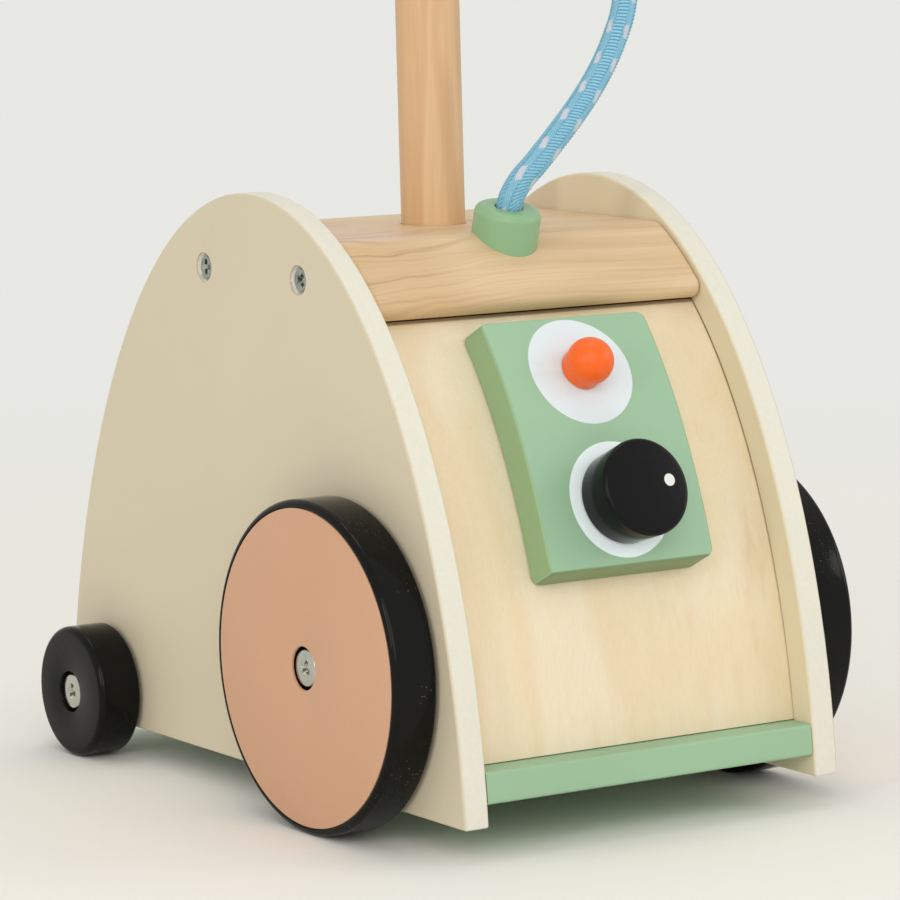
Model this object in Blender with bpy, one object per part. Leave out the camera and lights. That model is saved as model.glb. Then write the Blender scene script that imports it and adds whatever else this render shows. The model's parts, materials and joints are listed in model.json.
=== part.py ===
"""Wooden push-along toy vacuum cleaner, built as the separate pieces that it is made of.

Front is -Y, up is +Z and the wheels stand on Z = 0. All sizes are in metres.
"""

import math

import bmesh
import bpy
import numpy as np
from mathutils import Vector

# Fits
SEAT_GAP = 0.0003
TURN_GAP = 0.0003

# Side panels: an ellipse, cut straight along the bottom
ARCH_HALF_LENGTH = 0.1175
ARCH_RISE = 0.2058
ARCH_TOP = 0.1861
PANEL_BOTTOM = 0.0098
PANEL_THICKNESS = 0.0085
PANEL_EDGE_ROUND = 0.0008
BODY_WIDTH = 0.136

# Top block between the panels
BLOCK_DROP = 0.0127
BLOCK_THICKNESS = 0.0229
BLOCK_INSET = 0.0013
BLOCK_TOP_ROUND = 0.008
BLOCK_FACE_HEIGHT = 0.0036
BLOCK_LOW_ROUND = 0.0018
BLOCK_END_ROUND = 0.0014

# Base board between the panels
BOARD_THICKNESS = 0.0095
BOARD_INSET = 0.0005
BOARD_EDGE_ROUND = 0.001

# Bent plywood panels, held in grooves
PLY_INSET = 0.009
PLY_THICKNESS = 0.004
GROOVE_DEPTH = 0.0025

# Control plate, sawn to the curve of the plywood
PLATE_FROM_BLOCK = 0.008
PLATE_LENGTH = 0.0795
PLATE_WIDTH = 0.0596
PLATE_THICKNESS = 0.011
PLATE_CORNER = 0.0026
PLATE_EDGE_ROUND = 0.0008

# Ball button: a ball head on a slightly narrower neck
BUTTON_X = -0.001
BUTTON_FROM_TOP = 0.0185
BUTTON_RADIUS = 0.0072
BUTTON_RISE = 0.0057
BUTTON_NECK_RADIUS = 0.0066
BUTTON_PEG_RADIUS = 0.004
BUTTON_PEG_LENGTH = 0.0065

# Turning knob, a little narrower at its foot
KNOB_FROM_TOP = 0.0595
KNOB_RADIUS = 0.0148
KNOB_FOOT_RADIUS = 0.014
KNOB_LENGTH = 0.0143
KNOB_EDGE_ROUND = 0.0014
KNOB_SOCKET_DEPTH = 0.009
SHAFT_RADIUS = 0.004
SHAFT_PAST_PLY = 0.0012
KNOB_WASHER_RADIUS = 0.008
KNOB_WASHER_THICKNESS = 0.0012
KNOB_SCREW_LENGTH = 0.012

# Push rod and crossbar
ROD_RADIUS = 0.010
ROD_LEAN = math.radians(1.75)
ROD_SOCKET_DEPTH = 0.017
HANDLE_RISE = 0.3167
TENON_RADIUS = 0.006
TENON_DEPTH = 0.009
CROSSBAR_RADIUS = 0.013
CROSSBAR_LENGTH = 0.17
CROSSBAR_END_ROUND = 0.005

# Rope and its collar
ROPE_RADIUS = 0.004
COLLAR_Y = -0.0396
COLLAR_TILT = math.radians(15)
COLLAR_RADIUS = 0.010
COLLAR_STANDS = 0.0092
COLLAR_SUNK = 0.009
COLLAR_TOP_ROUND = 0.0026
ROPE_HOLE_X = 0.0628
ROPE_HOLE_DEPTH = 0.011
ROPE_STEP = 0.008
ROPE_GAP = 0.0005

# Wheels
FRONT_AXLE_Y = -0.0547
FRONT_WHEEL_RADIUS = 0.050
FRONT_WHEEL_THICKNESS = 0.0145
FRONT_WHEEL_ROUND = 0.002
FACE_DISC_RADIUS = 0.0475
FACE_DISC_THICKNESS = 0.0008
REAR_AXLE_Y = 0.0888
REAR_WHEEL_RADIUS = 0.021
REAR_WHEEL_THICKNESS = 0.0145
REAR_WHEEL_ROUND = 0.0022
HUB_RECESS_RADIUS = 0.0066
HUB_RECESS_DEPTH = 0.0026
AXLE_RAIL_SIDE = 0.022

# Wheel bolts and washers
BOLT_HEAD_RADIUS = 0.0058
BOLT_HEAD_THICKNESS = 0.002
BOLT_SHOULDER_RADIUS = 0.003
BOLT_THREAD_RADIUS = 0.002
BOLT_THREAD_LENGTH = 0.026
WASHER_RADIUS = 0.007
WASHER_THICKNESS = 0.0006

# Panel screws
PANEL_SCREW_FRONT_Y = -0.0295
PANEL_SCREW_REAR_Y = 0.0255
PANEL_SCREW_HEAD_RADIUS = 0.0039
PANEL_SCREW_HEAD_THICKNESS = 0.002
PANEL_SCREW_RADIUS = 0.0019
PANEL_SCREW_LENGTH = 0.03
PANEL_SCREW_RECESS_RADIUS = 0.0046
PANEL_SCREW_RECESS_DEPTH = 0.0028

# Cross recesses of the screws
RECESS_SPAN = 0.0046
RECESS_SLOT = 0.0011
RECESS_DEPTH = 0.001
SCREW_POINT = 0.002
HEAD_EDGE = 0.0004

# Rope route, from the bottom of its collar to its hole in the crossbar
ROPE_ROUTE = [
    (0.0, -0.0379, 0.1662),
    (0.0, -0.0396, 0.1727),
    (0.0, -0.0417, 0.1806),
    (0.0004, -0.0426, 0.1840),
    (0.0032, -0.0436, 0.1890),
    (0.0084, -0.0440, 0.1939),
    (0.0182, -0.0432, 0.2030),
    (0.0283, -0.0412, 0.2123),
    (0.0368, -0.0392, 0.2217),
    (0.0434, -0.0372, 0.2311),
    (0.0484, -0.0350, 0.2408),
    (0.0546, -0.0300, 0.2620),
    (0.0590, -0.0230, 0.2920),
    (0.0616, -0.0140, 0.3360),
    (0.0626, -0.0040, 0.3900),
    (0.0628, 0.0040, 0.4380),
    (0.0628, 0.0082, 0.4640),
    (0.0628, 0.0090, 0.4770),
    (0.0628, 0.0093, 0.4850),
]

# Worked out from the driving sizes
ARCH_CENTRE = ARCH_TOP - ARCH_RISE
INNER_HALF = BODY_WIDTH / 2 - PANEL_THICKNESS
BLOCK_TOP = ARCH_TOP - BLOCK_DROP
BLOCK_BOTTOM = BLOCK_TOP - BLOCK_THICKNESS
BOARD_BOTTOM = REAR_WHEEL_RADIUS - BOARD_THICKNESS / 2
BOARD_TOP = BOARD_BOTTOM + BOARD_THICKNESS
PLY_BACK = PLY_INSET + PLY_THICKNESS
PLATE_BACK = PLY_INSET - SEAT_GAP
WHEEL_INSIDE = BODY_WIDTH / 2 + WASHER_THICKNESS + 2 * TURN_GAP
SIDES = {"left": -1, "right": 1}


def finish(name, colour, roughness, metallic=0.0):
    """A plain Principled finish."""
    made = bpy.data.materials.new(name)
    made.use_nodes = True
    shader = made.node_tree.nodes["Principled BSDF"]
    shader.inputs["Base Color"].default_value = (*colour, 1)
    shader.inputs["Roughness"].default_value = roughness
    shader.inputs["Metallic"].default_value = metallic
    return made


def arch_normal(angle):
    """Outward normal (y, z) of the panel's ellipse; angle 0 is its front end, pi its rear end."""
    normal = Vector((-math.cos(angle) / ARCH_HALF_LENGTH, math.sin(angle) / ARCH_RISE))
    return normal.normalized()


def arch_point(angle, inset=0.0):
    """Point (y, z) that lies inset inside the panel's ellipse."""
    edge = Vector((-ARCH_HALF_LENGTH * math.cos(angle), ARCH_CENTRE + ARCH_RISE * math.sin(angle)))
    return edge - inset * arch_normal(angle)


def angle_at_height(height, inset=0.0):
    """Angle on the front half where the inset ellipse reaches a height."""
    low, high = 0.0, math.pi / 2
    for _ in range(60):
        middle = (low + high) / 2
        if arch_point(middle, inset).y < height:
            low = middle
        else:
            high = middle
    return (low + high) / 2


def angle_down_from(start, distance, inset):
    """Angle that lies a distance down the inset ellipse from a start angle on the front half."""
    angles = np.linspace(start, 0.0, 1500)
    points = np.array([arch_point(a, inset) for a in angles])
    steps = np.linalg.norm(np.diff(points, axis=0), axis=1)
    return float(np.interp(distance, np.concatenate([[0.0], np.cumsum(steps)]), angles))


def arch_run(first, last, inset, steps):
    return [arch_point(a, inset) for a in np.linspace(first, last, steps + 1)]


def slab_outline(inset, low, high, low_round, high_round, face_height=0.0, steps=10):
    """Outline (y, z) of a board whose front and rear edges follow the panels, with rounded corners.

    A face height cuts those edges upright at their lower ends.
    """

    def corner(radius, level, sign):
        angle = angle_at_height(level - sign * radius, inset + radius)
        centre = arch_point(angle, inset + radius)
        normal = arch_normal(angle)
        return angle, centre, math.atan2(normal.y, normal.x)

    low_angle, low_centre, low_turn = corner(low_round, low, -1)
    high_angle, high_centre, high_turn = corner(high_round, high, 1)
    if face_height:
        low_angle = angle_at_height(low + face_height, inset)
        low_centre = Vector((arch_point(low_angle, inset).x + low_round, low + low_round))
        low_turn = math.pi
    front = []
    for turn in np.linspace(1.5 * math.pi, low_turn % (2 * math.pi), 5):
        front.append(low_centre + low_round * Vector((math.cos(turn), math.sin(turn))))
    front += arch_run(low_angle, high_angle, inset, steps)[0 if face_height else 1:-1]
    for turn in np.linspace(high_turn, math.pi / 2, 6):
        front.append(high_centre + high_round * Vector((math.cos(turn), math.sin(turn))))
    rear = [Vector((-p.x, p.y)) for p in reversed(front)]
    return front + rear


def bent_outline(outer, inner, low, high, steps=16):
    """Outline (y, z) of a sheet bent to the arch, its two ends cut level."""
    outside = arch_run(angle_at_height(low, outer), angle_at_height(high, outer), outer, steps)
    inside = arch_run(angle_at_height(high, inner), angle_at_height(low, inner), inner, steps)
    return outside + inside


def prism(outline, low, high):
    """Mesh of an outline (y, z) drawn out along X."""
    mesh = bmesh.new()
    ends = [[mesh.verts.new((x, p[0], p[1])) for p in outline] for x in (low, high)]
    mesh.faces.new(ends[0])
    mesh.faces.new(ends[1])
    count = len(outline)
    for i in range(count):
        j = (i + 1) % count
        mesh.faces.new((ends[0][i], ends[0][j], ends[1][j], ends[1][i]))
    bmesh.ops.recalc_face_normals(mesh, faces=mesh.faces)
    return mesh


def turned(profile, steps, closed=False):
    """Mesh of a profile (radius, height) turned round Z."""
    mesh = bmesh.new()
    points = [mesh.verts.new((r, 0.0, z)) for r, z in profile]
    edges = [mesh.edges.new(pair) for pair in zip(points, points[1:])]
    if closed:
        edges.append(mesh.edges.new((points[-1], points[0])))
    bmesh.ops.spin(mesh, geom=points + edges, cent=(0, 0, 0), axis=(0, 0, 1), angle=2 * math.pi,
                   steps=steps, use_merge=True)
    bmesh.ops.remove_doubles(mesh, verts=mesh.verts, dist=1e-7)
    bmesh.ops.recalc_face_normals(mesh, faces=mesh.faces)
    return mesh


def rod_shape(radius, low, high, steps=24):
    return turned([(0, low), (radius, low), (radius, high), (0, high)], steps)


def quarter(centre, radius, start, steps=4):
    """Points of a quarter circle, turning anticlockwise from a start angle in degrees."""
    turns = np.radians(np.linspace(start, start + 90, steps + 1))
    return [(centre[0] + radius * math.cos(t), centre[1] + radius * math.sin(t)) for t in turns]


def piece(name, mesh, look, parent, location=(0, 0, 0), tilt=(0, 0, 0), smooth=True):
    """Object of a bmesh or of a mesh that another piece shares."""
    if isinstance(mesh, bmesh.types.BMesh):
        data = bpy.data.meshes.new(name)
        mesh.to_mesh(data)
        mesh.free()
    else:
        data = mesh
    if smooth:
        data.shade_smooth()
        data.set_sharp_from_angle(angle=math.radians(38))
    if look and not data.materials:
        data.materials.append(look)
    made = bpy.data.objects.new(name, data)
    bpy.context.scene.collection.objects.link(made)
    made.parent = parent
    made.location = location
    made.rotation_euler = tilt
    return made


def empty(name, parent, location=(0, 0, 0), tilt=(0, 0, 0)):
    made = bpy.data.objects.new(name, None)
    bpy.context.scene.collection.objects.link(made)
    made.parent = parent
    made.location = location
    made.rotation_euler = tilt
    return made


def round_edges(target, width, segments=2):
    modifier = target.modifiers.new("edges", "BEVEL")
    modifier.width = width
    modifier.segments = segments
    modifier.limit_method = "ANGLE"
    modifier.angle_limit = math.radians(50)


def cutter(name, mesh, parent, location=(0, 0, 0), tilt=(0, 0, 0)):
    made = piece(name, mesh, None, parent, location, tilt, smooth=False)
    made.hide_render = True
    made.display_type = "WIRE"
    return made


def combine(target, other, operation="DIFFERENCE"):
    modifier = target.modifiers.new(other.name, "BOOLEAN")
    modifier.operation = operation
    modifier.solver = "EXACT"
    modifier.object = other


def screw_mesh(head_radius, head_thickness, runs):
    """Mesh of a screw along Z, with the underside of its head at 0 and a cross recess in its top."""
    profile = [(0, head_thickness), (head_radius - HEAD_EDGE, head_thickness)]
    profile += [(head_radius, head_thickness - HEAD_EDGE), (head_radius, 0)]
    depth = 0.0
    for radius, length in runs:
        profile.append((radius, -depth))
        depth += length
        profile.append((radius, -depth))
    profile[-1] = (profile[-1][0], -depth + SCREW_POINT)
    profile += [(profile[-1][0] * 0.3, -depth), (0, -depth)]
    blank = piece("screw_blank", turned(profile, 16), None, None)
    half, slot = RECESS_SPAN / 2, RECESS_SLOT / 2
    cross = bmesh.new()
    ring = []
    for turn in range(4):
        c, s = (1, 0, -1, 0)[turn], (0, 1, 0, -1)[turn]
        for along, across in ((slot, -slot), (half, -slot), (half, slot)):
            ring.append((along * c - across * s, along * s + across * c))
    low, high = head_thickness - RECESS_DEPTH, head_thickness + RECESS_DEPTH
    loops = [[cross.verts.new((x, y, z)) for x, y in ring] for z in (low, high)]
    cross.faces.new(loops[0])
    cross.faces.new(loops[1])
    for i in range(len(ring)):
        j = (i + 1) % len(ring)
        cross.faces.new((loops[0][i], loops[0][j], loops[1][j], loops[1][i]))
    bmesh.ops.recalc_face_normals(cross, faces=cross.faces)
    tool = cutter("screw_cross", cross, None)
    combine(blank, tool)
    bpy.context.view_layer.update()
    graph = bpy.context.evaluated_depsgraph_get()
    mesh = bpy.data.meshes.new_from_object(blank.evaluated_get(graph))
    for helper in (blank, tool):
        bpy.data.objects.remove(helper)
    return mesh


def washer_mesh(radius, hole, thickness, steps=18):
    edge = [(hole, 0), (radius, 0), (radius, thickness), (hole, thickness)]
    return turned(edge, steps, closed=True)


def smooth_route(route, step):
    """Points at an even step along a smooth curve through the route's points."""
    fine = []
    ends = [2 * np.array(route[0]) - route[1], *map(np.array, route), 2 * np.array(route[-1]) - route[-2]]
    for a, b, c, d in zip(ends, ends[1:], ends[2:], ends[3:]):
        for t in np.linspace(0, 1, 24, endpoint=False):
            fine.append(0.5 * (2 * b + (c - a) * t + (2 * a - 5 * b + 4 * c - d) * t**2
                               + (3 * b - 3 * c + d - a) * t**3))
    fine.append(ends[-2])
    fine = np.array(fine)
    gone = np.concatenate([[0], np.cumsum(np.linalg.norm(np.diff(fine, axis=0), axis=1))])
    wanted = np.linspace(0, gone[-1], round(gone[-1] / step) + 1)
    return np.column_stack([np.interp(wanted, gone, fine[:, k]) for k in range(3)]), gone[-1]


def outward(side):
    """Turn that points Z out of the left or the right side."""
    return (0, SIDES[side] * math.pi / 2, 0)


def side_panel(side, toy, looks):
    """Painted side, with routed grooves for the plywood and holes for its screws and bolts."""
    sign = SIDES[side]
    start = angle_at_height(PANEL_BOTTOM)
    outline = arch_run(start, math.pi - start, 0.0, 56)
    inner, outer = sorted((sign * INNER_HALF, sign * BODY_WIDTH / 2))
    panel = piece(f"side_panel_{side}", prism(outline, inner, outer), looks["cream"], toy)
    round_edges(panel, PANEL_EDGE_ROUND)
    groove = bent_outline(PLY_INSET - SEAT_GAP, PLY_BACK + SEAT_GAP, BOARD_TOP, BLOCK_BOTTOM, 16)
    reach = sorted((sign * (INNER_HALF - GROOVE_DEPTH), sign * (INNER_HALF + GROOVE_DEPTH)))
    for end, flip in (("front", 1), ("rear", -1)):
        shape = [(flip * p[0], p[1]) for p in groove]
        combine(panel, cutter(f"groove_{side}_{end}", prism(shape, *reach), toy))
    for end, y, z in (("front", FRONT_AXLE_Y, FRONT_WHEEL_RADIUS), ("rear", REAR_AXLE_Y, REAR_WHEEL_RADIUS)):
        hole = rod_shape(BOLT_THREAD_RADIUS + SEAT_GAP, -2 * PANEL_THICKNESS, 2 * PANEL_THICKNESS, 16)
        place = (sign * BODY_WIDTH / 2, y, z)
        combine(panel, cutter(f"bolt_hole_{side}_{end}", hole, toy, place, outward(side)))
    floor = -PANEL_SCREW_RECESS_DEPTH
    shank = PANEL_SCREW_RADIUS + SEAT_GAP
    wide = PANEL_SCREW_RECESS_RADIUS
    profile = [(0, PANEL_THICKNESS), (wide, PANEL_THICKNESS), (wide, floor), (shank, floor)]
    profile += [(shank, -2 * PANEL_THICKNESS), (0, -2 * PANEL_THICKNESS)]
    for end, y in (("front", PANEL_SCREW_FRONT_Y), ("rear", PANEL_SCREW_REAR_Y)):
        place = (sign * BODY_WIDTH / 2, y, (BLOCK_TOP + BLOCK_BOTTOM) / 2)
        tool = cutter(f"screw_hole_{side}_{end}", turned(profile, 24), toy, place, outward(side))
        combine(panel, tool)


def top_block(toy, looks):
    """Solid wood block that joins the panels and holds the rod and the rope's collar."""
    half = INNER_HALF - SEAT_GAP
    outline = slab_outline(BLOCK_INSET, BLOCK_BOTTOM, BLOCK_TOP, BLOCK_LOW_ROUND, BLOCK_TOP_ROUND,
                           BLOCK_FACE_HEIGHT)
    block = piece("top_block", prism(outline, -half, half), looks["honey"], toy)
    round_edges(block, BLOCK_END_ROUND)
    rod_hole = rod_shape(ROD_RADIUS + SEAT_GAP, -ROD_SOCKET_DEPTH, ROD_SOCKET_DEPTH, 40)
    combine(block, cutter("rod_socket", rod_hole, toy, (0, 0, BLOCK_TOP), (-ROD_LEAN, 0, 0)))
    depth = COLLAR_SUNK + SEAT_GAP
    collar_hole = rod_shape(COLLAR_RADIUS + SEAT_GAP, -depth, 3 * depth, 40)
    combine(block, cutter("collar_socket", collar_hole, toy, collar_seat(), (COLLAR_TILT, 0, 0)))
    for side in SIDES:
        for end, y in (("front", PANEL_SCREW_FRONT_Y), ("rear", PANEL_SCREW_REAR_Y)):
            length = PANEL_SCREW_LENGTH
            hole = rod_shape(PANEL_SCREW_RADIUS + SEAT_GAP, -length, length, 16)
            place = (SIDES[side] * INNER_HALF, y, (BLOCK_TOP + BLOCK_BOTTOM) / 2)
            combine(block, cutter(f"pilot_{side}_{end}", hole, toy, place, outward(side)))


def collar_seat():
    """Where the collar's axis meets the block's surface."""
    angle = angle_at_height(BLOCK_TOP, BLOCK_INSET)
    for _ in range(60):
        point = arch_point(angle, BLOCK_INSET)
        angle -= 0.5 * (point.x - COLLAR_Y) / ARCH_HALF_LENGTH
    return (0, COLLAR_Y, min(point.y, BLOCK_TOP))


def bolted_bar(bar, y, z, name, toy):
    """Pilot holes for the wheel bolts in the two ends of a bar or board."""
    for side in SIDES:
        hole = rod_shape(BOLT_THREAD_RADIUS + SEAT_GAP, -BOLT_THREAD_LENGTH, BOLT_THREAD_LENGTH, 16)
        place = (SIDES[side] * INNER_HALF, y, z)
        combine(bar, cutter(f"{name}_pilot_{side}", hole, toy, place, outward(side)))


def base_board(toy, looks):
    """Green board that closes the bottom; its front edge shows as a sill."""
    half = INNER_HALF - SEAT_GAP
    outline = slab_outline(BOARD_INSET, BOARD_BOTTOM, BOARD_TOP, BOARD_EDGE_ROUND, BOARD_EDGE_ROUND, steps=3)
    board = piece("base_board", prism(outline, -half, half), looks["sage"], toy)
    bolted_bar(board, REAR_AXLE_Y, REAR_WHEEL_RADIUS, "board", toy)


def axle_rail(toy, looks):
    """Square rail inside, which the front wheel bolts screw into."""
    half = INNER_HALF - SEAT_GAP
    reach = AXLE_RAIL_SIDE / 2
    y, z = FRONT_AXLE_Y, FRONT_WHEEL_RADIUS
    outline = [(y + a * reach, z + b * reach) for a, b in ((-1, -1), (1, -1), (1, 1), (-1, 1))]
    rail = piece("front_axle_rail", prism(outline, -half, half), looks["ply"], toy)
    bolted_bar(rail, y, z, "rail", toy)


def bent_panels(toy, looks, angles):
    """Front and rear sheets of thin plywood, bent into the grooves of the side panels."""
    half = INNER_HALF + GROOVE_DEPTH - SEAT_GAP
    sheet = bent_outline(PLY_INSET, PLY_BACK, BOARD_TOP + SEAT_GAP, BLOCK_BOTTOM - SEAT_GAP, 24)
    front = piece("front_panel", prism(sheet, -half, half), looks["ply"], toy)
    hole = rod_shape(SHAFT_RADIUS + TURN_GAP, -2 * PLATE_THICKNESS, 0)
    combine(front, cutter("shaft_hole_ply", hole, toy, *on_plate(angles[2], angles)))
    rear = [(-p[0], p[1]) for p in sheet]
    piece("rear_panel", prism(rear, -half, half), looks["ply"], toy)


def plate_shift(angles):
    """Step (y, z) from the plate's back to its face: its thickness, square to its middle."""
    return PLATE_THICKNESS * arch_normal((angles[0] + angles[-1]) / 2)


def on_plate(angle, angles, x=0.0):
    """Place and turn of something that stands square on the plate's face."""
    point, normal = arch_point(angle, PLATE_BACK) + plate_shift(angles), arch_normal(angle)
    return (x, point.x, point.y), (math.atan2(-normal.x, normal.y), 0, 0)


def plate_angles():
    """Angles of the plate's top edge, the button, the knob and the plate's bottom edge."""
    under_block = angle_at_height(BLOCK_BOTTOM, PLY_INSET)
    top = angle_down_from(under_block, PLATE_FROM_BLOCK, PLY_INSET)
    places = [angle_down_from(top, d, PLY_INSET) for d in (BUTTON_FROM_TOP, KNOB_FROM_TOP, PLATE_LENGTH)]
    return [top, *places]


def control_plate(toy, looks, angles):
    """Thick green plate, its face the same curve as its back, with rounded corners and eased edges."""
    top, button, knob, bottom = angles
    back = arch_run(top, bottom, PLATE_BACK, 16)
    face = [point + plate_shift(angles) for point in reversed(back)]
    mesh = prism(face + back, -PLATE_WIDTH / 2, PLATE_WIDTH / 2)
    corner_lines = []
    for edge in mesh.edges:
        along = edge.verts[1].co - edge.verts[0].co
        if abs(along.x) < 1e-9 and abs(along.length - PLATE_THICKNESS) < 1e-6:
            corner_lines.append(edge)
    bmesh.ops.bevel(mesh, geom=corner_lines, offset=PLATE_CORNER, segments=3, profile=0.5, affect="EDGES")
    plate = piece("control_plate", mesh, looks["sage"], toy)
    round_edges(plate, PLATE_EDGE_ROUND)
    peg = rod_shape(BUTTON_PEG_RADIUS + SEAT_GAP, -BUTTON_PEG_LENGTH - SEAT_GAP, PLATE_THICKNESS)
    combine(plate, cutter("button_hole", peg, toy, *on_plate(button, angles, BUTTON_X)))
    shaft = rod_shape(SHAFT_RADIUS + TURN_GAP, -2 * PLATE_THICKNESS, PLATE_THICKNESS)
    combine(plate, cutter("shaft_hole_plate", shaft, toy, *on_plate(knob, angles)))


def ball_button(toy, looks, angles):
    """Orange ball on a neck, pegged into the plate."""
    foot = SEAT_GAP
    neck_turn = -math.acos(BUTTON_NECK_RADIUS / BUTTON_RADIUS)
    peg, length = BUTTON_PEG_RADIUS, BUTTON_PEG_LENGTH
    profile = [(0, -length), (peg, -length), (peg, foot), (BUTTON_NECK_RADIUS, foot)]
    for turn in np.linspace(neck_turn, math.pi / 2, 11):
        profile.append((BUTTON_RADIUS * math.cos(turn), BUTTON_RISE + BUTTON_RADIUS * math.sin(turn)))
    profile[-1] = (0, BUTTON_RISE + BUTTON_RADIUS)
    seat = on_plate(angles[1], angles, BUTTON_X)
    piece("ball_button", turned(profile, 28), looks["orange"], toy, *seat)


def knob_set(toy, looks, angles):
    """Black knob on a dowel shaft, kept in by a washer and a screw behind the plywood."""
    axle = empty("knob_axis", toy, *on_plate(angles[2], angles))
    foot = TURN_GAP
    top = foot + KNOB_LENGTH
    ease = KNOB_EDGE_ROUND
    socket = SHAFT_RADIUS + SEAT_GAP
    profile = [(0, foot + KNOB_SOCKET_DEPTH), (socket, foot + KNOB_SOCKET_DEPTH), (socket, foot)]
    profile += [(KNOB_FOOT_RADIUS - ease / 2, foot), (KNOB_FOOT_RADIUS, foot + ease / 2)]
    profile += quarter((KNOB_RADIUS - ease, top - ease), ease, 0)
    profile.append((0, top))
    piece("knob", turned(profile, 40), looks["black"], axle)
    tail = -PLATE_THICKNESS - SEAT_GAP - PLY_THICKNESS - SHAFT_PAST_PLY
    shaft_top = foot + KNOB_SOCKET_DEPTH - SEAT_GAP
    pilot = PANEL_SCREW_RADIUS + SEAT_GAP
    depth = tail + KNOB_SCREW_LENGTH
    shaft = [(0, shaft_top), (SHAFT_RADIUS, shaft_top), (SHAFT_RADIUS, tail), (pilot, tail)]
    shaft += [(pilot, depth), (0, depth)]
    piece("knob_shaft", turned(shaft, 24), looks["ply"], axle)
    ring = washer_mesh(KNOB_WASHER_RADIUS, pilot, KNOB_WASHER_THICKNESS)
    washer_low = tail - SEAT_GAP - KNOB_WASHER_THICKNESS
    piece("knob_washer", ring, looks["zinc"], axle, (0, 0, washer_low))
    runs = [(PANEL_SCREW_RADIUS, KNOB_SCREW_LENGTH)]
    screw = screw_mesh(PANEL_SCREW_HEAD_RADIUS, PANEL_SCREW_HEAD_THICKNESS, runs)
    piece("knob_screw", screw, looks["zinc"], axle, (0, 0, washer_low - SEAT_GAP), (math.pi, 0, 0))


def handle(toy, looks):
    """Rod leaning back a little, with a crossbar on its tenon."""
    stem = empty("rod_axis", toy, (0, 0, BLOCK_TOP), (-ROD_LEAN, 0, 0))
    foot = -ROD_SOCKET_DEPTH + SEAT_GAP
    seat = CROSSBAR_RADIUS + SEAT_GAP
    rod = piece("push_rod", rod_shape(ROD_RADIUS, foot, HANDLE_RISE, 48), looks["honey"], stem)
    along = (0, math.pi / 2, 0)
    saddle = rod_shape(seat, -CROSSBAR_LENGTH, CROSSBAR_LENGTH, 64)
    combine(rod, cutter("saddle", saddle, stem, (0, 0, HANDLE_RISE), along))
    tenon_top = HANDLE_RISE - CROSSBAR_RADIUS + TENON_DEPTH
    tenon = rod_shape(TENON_RADIUS, HANDLE_RISE - 3 * CROSSBAR_RADIUS, tenon_top, 32)
    combine(rod, cutter("tenon", tenon, stem), "UNION")

    half, ease = CROSSBAR_LENGTH / 2, CROSSBAR_END_ROUND
    profile = [(0, -half)] + quarter((CROSSBAR_RADIUS - ease, -half + ease), ease, -90)
    profile += quarter((CROSSBAR_RADIUS - ease, half - ease), ease, 0) + [(0, half)]
    bar = piece("crossbar", turned(profile, 36), looks["honey"], stem, (0, 0, HANDLE_RISE), along)
    mortise = rod_shape(TENON_RADIUS + SEAT_GAP, HANDLE_RISE - 2 * CROSSBAR_RADIUS, tenon_top + SEAT_GAP, 32)
    combine(bar, cutter("mortise", mortise, stem))
    mouth = HANDLE_RISE - CROSSBAR_RADIUS
    bore = rod_shape(ROPE_RADIUS + ROPE_GAP, mouth - CROSSBAR_RADIUS, mouth + ROPE_HOLE_DEPTH)
    combine(bar, cutter("rope_hole", bore, stem, (ROPE_HOLE_X, 0, 0)))


def rope_and_collar(toy, looks):
    """Green collar sunk in the block, and the rope that rises from it to the crossbar."""
    bore = ROPE_RADIUS + ROPE_GAP
    top, ease = COLLAR_STANDS, COLLAR_TOP_ROUND
    profile = [(bore, -COLLAR_SUNK), (COLLAR_RADIUS, -COLLAR_SUNK)]
    profile += quarter((COLLAR_RADIUS - ease, top - ease), ease, 0)
    profile.append((bore, top))
    collar = turned(profile, 36, closed=True)
    piece("rope_collar", collar, looks["sage"], toy, collar_seat(), (COLLAR_TILT, 0, 0))

    points, length = smooth_route(ROPE_ROUTE, ROPE_STEP)
    line = bpy.data.curves.new("rope", "CURVE")
    line.dimensions = "3D"
    line.bevel_depth = ROPE_RADIUS
    line.bevel_resolution = 3
    line.use_fill_caps = True
    spline = line.splines.new("POLY")
    spline.points.add(len(points) - 1)
    for target, point in zip(spline.points, points):
        target.co = (*point, 1)
    spline.use_smooth = True
    line.materials.append(looks["rope"])
    made = bpy.data.objects.new("rope", line)
    bpy.context.scene.collection.objects.link(made)
    made.parent = toy
    print(f"rope: {length * 1000:.0f} mm long on {len(points)} points")


def wheel_mesh(radius, thickness, ease, face_radius=None):
    """Wheel along Z from its inner face, with a recess for the bolt's head and one for a face disc."""
    bore = BOLT_SHOULDER_RADIUS + TURN_GAP
    inner_ease = ease * 0.7
    profile = [(bore, 0), (radius - inner_ease, 0), (radius - 0.3 * inner_ease, 0.3 * inner_ease)]
    profile += [(radius, inner_ease)] + quarter((radius - ease, thickness - ease), ease, 0)
    if face_radius:
        deep = thickness - FACE_DISC_THICKNESS - SEAT_GAP
        profile += [(face_radius + SEAT_GAP, thickness), (face_radius + SEAT_GAP, deep)]
        profile.append((HUB_RECESS_RADIUS, deep))
    else:
        profile.append((HUB_RECESS_RADIUS, thickness))
    floor = thickness - HUB_RECESS_DEPTH
    profile += [(HUB_RECESS_RADIUS, floor), (bore, floor)]
    return turned(profile, 52 if face_radius else 38, closed=True)


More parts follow.
